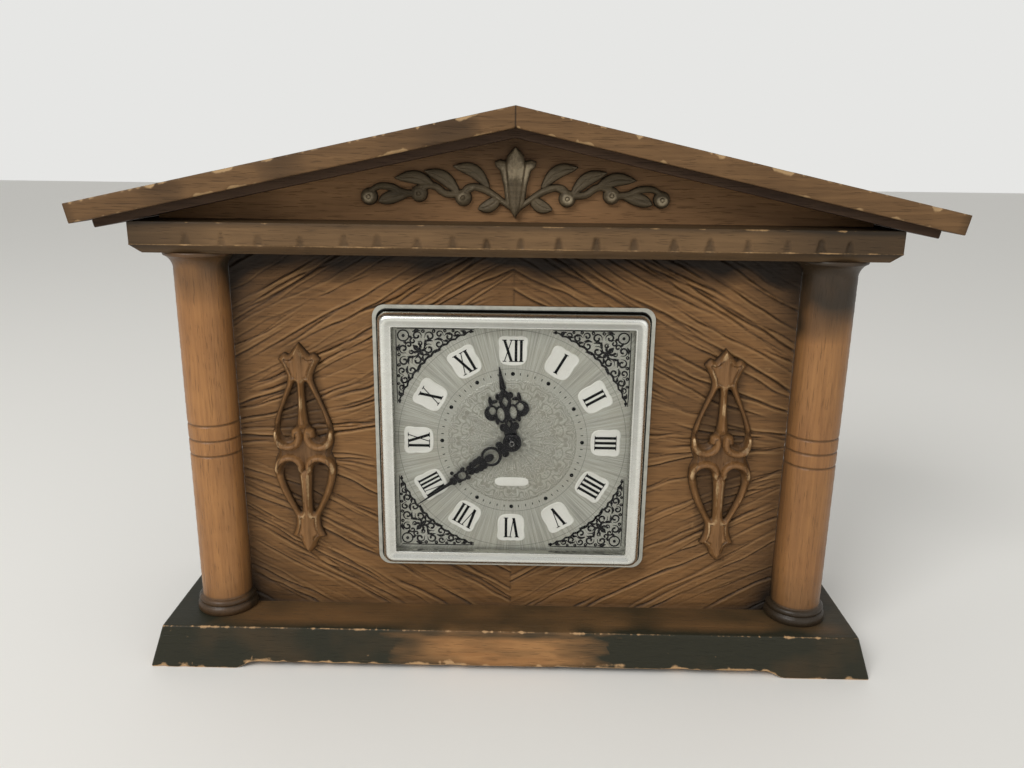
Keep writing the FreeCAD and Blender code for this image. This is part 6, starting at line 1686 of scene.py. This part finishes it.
class ClockColours(bpy.types.PropertyGroup):
    board: panel_colour("Front board", "#8A633B", "Lighter tone of the carved board's stain")
    column: panel_colour("Columns", "#AD7B49", "Lighter tone of the columns")
    base: panel_colour("Base", "#A87C4E", "Lighter tone of the base's bare wood")
    roof: panel_colour("Roof", "#7A5B3A", "Lighter tone of the roof boards")
    moulding: panel_colour("Moulding", "#7A5E3F", "Lighter tone of the gable's moulding")
    gable: panel_colour("Gable board", "#96704A", "Lighter tone of the gable board")
    scroll: panel_colour("Pierced scrolls", "#946C43", "Lighter tone of the pierced scrolls")
    spray: panel_colour("Leaf spray", "#6E604A", "Lighter tone of the leaf and berry spray")
    bezel: panel_colour("Bezel", "#DFDFD8", "Colour of the satin bezel")
    dial: panel_colour("Dial", "#C8C8BC", "Paler tone of the silvered dial")
    enamel: panel_colour("Hands", "#080709", "Colour of the enamelled hands")


class ClockLamps(bpy.types.PropertyGroup):
    key_power: bpy.props.FloatProperty(
        name="Key lamp", description="Power of the lamp at the upper left", default=20.0,
        min=0.0, unit="POWER")
    fill_power: bpy.props.FloatProperty(
        name="Fill lamp", description="Power of the lamp at the right", default=4.0, min=0.0,
        unit="POWER")
    room_light: bpy.props.FloatProperty(
        name="Room light", description="Strength of the pale surroundings on the clock",
        default=0.60, min=0.0, subtype="FACTOR")


# One operator for each piece or group of pieces

class MANTEL_CLOCK_OT_finishes(bpy.types.Operator):
    """Mix every finish from the colours in the panel"""
    bl_idname = "mantel_clock.finishes"
    bl_label = "Finishes"

    def execute(self, context):
        make_finishes(context.scene.clock_colours)
        return {"FINISHED"}


class MANTEL_CLOCK_OT_stage(bpy.types.Operator):
    """Set the camera, the floor, the lamps and the pale surroundings"""
    bl_idname = "mantel_clock.stage"
    bl_label = "Stage"

    def execute(self, context):
        make_stage(context.scene.clock_lamps)
        return {"FINISHED"}


class MANTEL_CLOCK_OT_front_board(bpy.types.Operator):
    """Carve the front board with its gouge lines"""
    bl_idname = "mantel_clock.front_board"
    bl_label = "Front board"

    def execute(self, context):
        make_front_panel(context.scene.clock_shapes)
        return {"FINISHED"}


class MANTEL_CLOCK_OT_roof(bpy.types.Operator):
    """Build the two worn roof boards"""
    bl_idname = "mantel_clock.roof"
    bl_label = "Roof boards"

    def execute(self, context):
        make_roof_boards(context.scene.clock_shapes)
        return {"FINISHED"}


class MANTEL_CLOCK_OT_moulding(bpy.types.Operator):
    """Build the notched moulding under the gable"""
    bl_idname = "mantel_clock.moulding"
    bl_label = "Moulding"

    def execute(self, context):
        make_top_moulding(context.scene.clock_shapes)
        return {"FINISHED"}


class MANTEL_CLOCK_OT_base(bpy.types.Operator):
    """Build the flared base with its bracket feet"""
    bl_idname = "mantel_clock.base"
    bl_label = "Base"

    def execute(self, context):
        make_base(context.scene.clock_shapes)
        return {"FINISHED"}


class MANTEL_CLOCK_OT_columns(bpy.types.Operator):
    """Turn the two columns"""
    bl_idname = "mantel_clock.columns"
    bl_label = "Columns"

    def execute(self, context):
        make_columns(context.scene.clock_shapes)
        return {"FINISHED"}


class MANTEL_CLOCK_OT_scrolls(bpy.types.Operator):
    """Carve the two pierced scrolls"""
    bl_idname = "mantel_clock.scrolls"
    bl_label = "Pierced scrolls"

    def execute(self, context):
        make_scrolls()
        return {"FINISHED"}


class MANTEL_CLOCK_OT_spray(bpy.types.Operator):
    """Carve the leaf and berry spray of the gable"""
    bl_idname = "mantel_clock.spray"
    bl_label = "Leaf spray"

    def execute(self, context):
        make_spray()
        return {"FINISHED"}


class MANTEL_CLOCK_OT_plain_boards(bpy.types.Operator):
    """Finish the plain boards and fit the back's screws"""
    bl_idname = "mantel_clock.plain_boards"
    bl_label = "Plain boards and screws"

    def execute(self, context):
        finish_plain_boards()
        make_back_screws()
        return {"FINISHED"}


class MANTEL_CLOCK_OT_bezel(bpy.types.Operator):
    """Draw the pillow-shaped bezel"""
    bl_idname = "mantel_clock.bezel"
    bl_label = "Bezel"

    def execute(self, context):
        make_bezel()
        return {"FINISHED"}


class MANTEL_CLOCK_OT_dial(bpy.types.Operator):
    """Raise and print the dial: chapters, minute track, disc, plaque and corner ornaments"""
    bl_idname = "mantel_clock.dial"
    bl_label = "Dial"

    def execute(self, context):
        make_chapters(context.scene.clock_shapes)
        make_minute_track()
        make_corner_ornaments()
        make_bare_plaque()
        return {"FINISHED"}


class MANTEL_CLOCK_OT_hands(bpy.types.Operator):
    """Pierce the two hands and dome their nut"""
    bl_idname = "mantel_clock.hands"
    bl_label = "Hands"

    def execute(self, context):
        make_hands()
        make_hub_cap()
        return {"FINISHED"}


class MANTEL_CLOCK_OT_movement(bpy.types.Operator):
    """Finish the movement and make its battery, knob and hairspring"""
    bl_idname = "mantel_clock.movement"
    bl_label = "Movement"

    def execute(self, context):
        finish_movement()
        make_battery()
        make_knob()
        make_hairspring()
        return {"FINISHED"}


MAKERS = (MANTEL_CLOCK_OT_finishes, MANTEL_CLOCK_OT_stage, MANTEL_CLOCK_OT_front_board,
          MANTEL_CLOCK_OT_roof, MANTEL_CLOCK_OT_moulding, MANTEL_CLOCK_OT_base,
          MANTEL_CLOCK_OT_columns, MANTEL_CLOCK_OT_scrolls, MANTEL_CLOCK_OT_spray,
          MANTEL_CLOCK_OT_plain_boards, MANTEL_CLOCK_OT_bezel, MANTEL_CLOCK_OT_dial,
          MANTEL_CLOCK_OT_hands, MANTEL_CLOCK_OT_movement)


class MANTEL_CLOCK_PT_panel(bpy.types.Panel):
    """Lists the clock's sizes, colours, lamps and pieces"""
    bl_idname = "MANTEL_CLOCK_PT_panel"
    bl_label = "Mantel clock"
    bl_space_type = "VIEW_3D"
    bl_region_type = "UI"
    bl_category = "Mantel clock"

    def draw(self, context):
        for heading, group in (("Sizes", context.scene.clock_shapes),
                               ("Colours", context.scene.clock_colours),
                               ("Lamps", context.scene.clock_lamps)):
            box = self.layout.box()
            box.label(text=heading)
            for key in group.__annotations__:
                box.prop(group, key)
        for maker in MAKERS:
            self.layout.operator(maker.bl_idname)


CLASSES = (ClockShapes, ClockColours, ClockLamps) + MAKERS + (MANTEL_CLOCK_PT_panel,)


def register():
    for kind in CLASSES:
        bpy.utils.register_class(kind)
    bpy.types.Scene.clock_shapes = bpy.props.PointerProperty(type=ClockShapes)
    bpy.types.Scene.clock_colours = bpy.props.PointerProperty(type=ClockColours)
    bpy.types.Scene.clock_lamps = bpy.props.PointerProperty(type=ClockLamps)


def unregister():
    del bpy.types.Scene.clock_lamps
    del bpy.types.Scene.clock_colours
    del bpy.types.Scene.clock_shapes
    for kind in reversed(CLASSES):
        bpy.utils.unregister_class(kind)


def main():
    register()
    bpy.ops.mantel_clock.finishes()
    bpy.ops.mantel_clock.stage()
    bpy.ops.mantel_clock.front_board()
    bpy.ops.mantel_clock.roof()
    bpy.ops.mantel_clock.moulding()
    bpy.ops.mantel_clock.base()
    bpy.ops.mantel_clock.columns()
    bpy.ops.mantel_clock.scrolls()
    bpy.ops.mantel_clock.spray()
    bpy.ops.mantel_clock.plain_boards()
    bpy.ops.mantel_clock.bezel()
    bpy.ops.mantel_clock.dial()
    bpy.ops.mantel_clock.hands()
    bpy.ops.mantel_clock.movement()


if __name__ == "__main__":
    main()
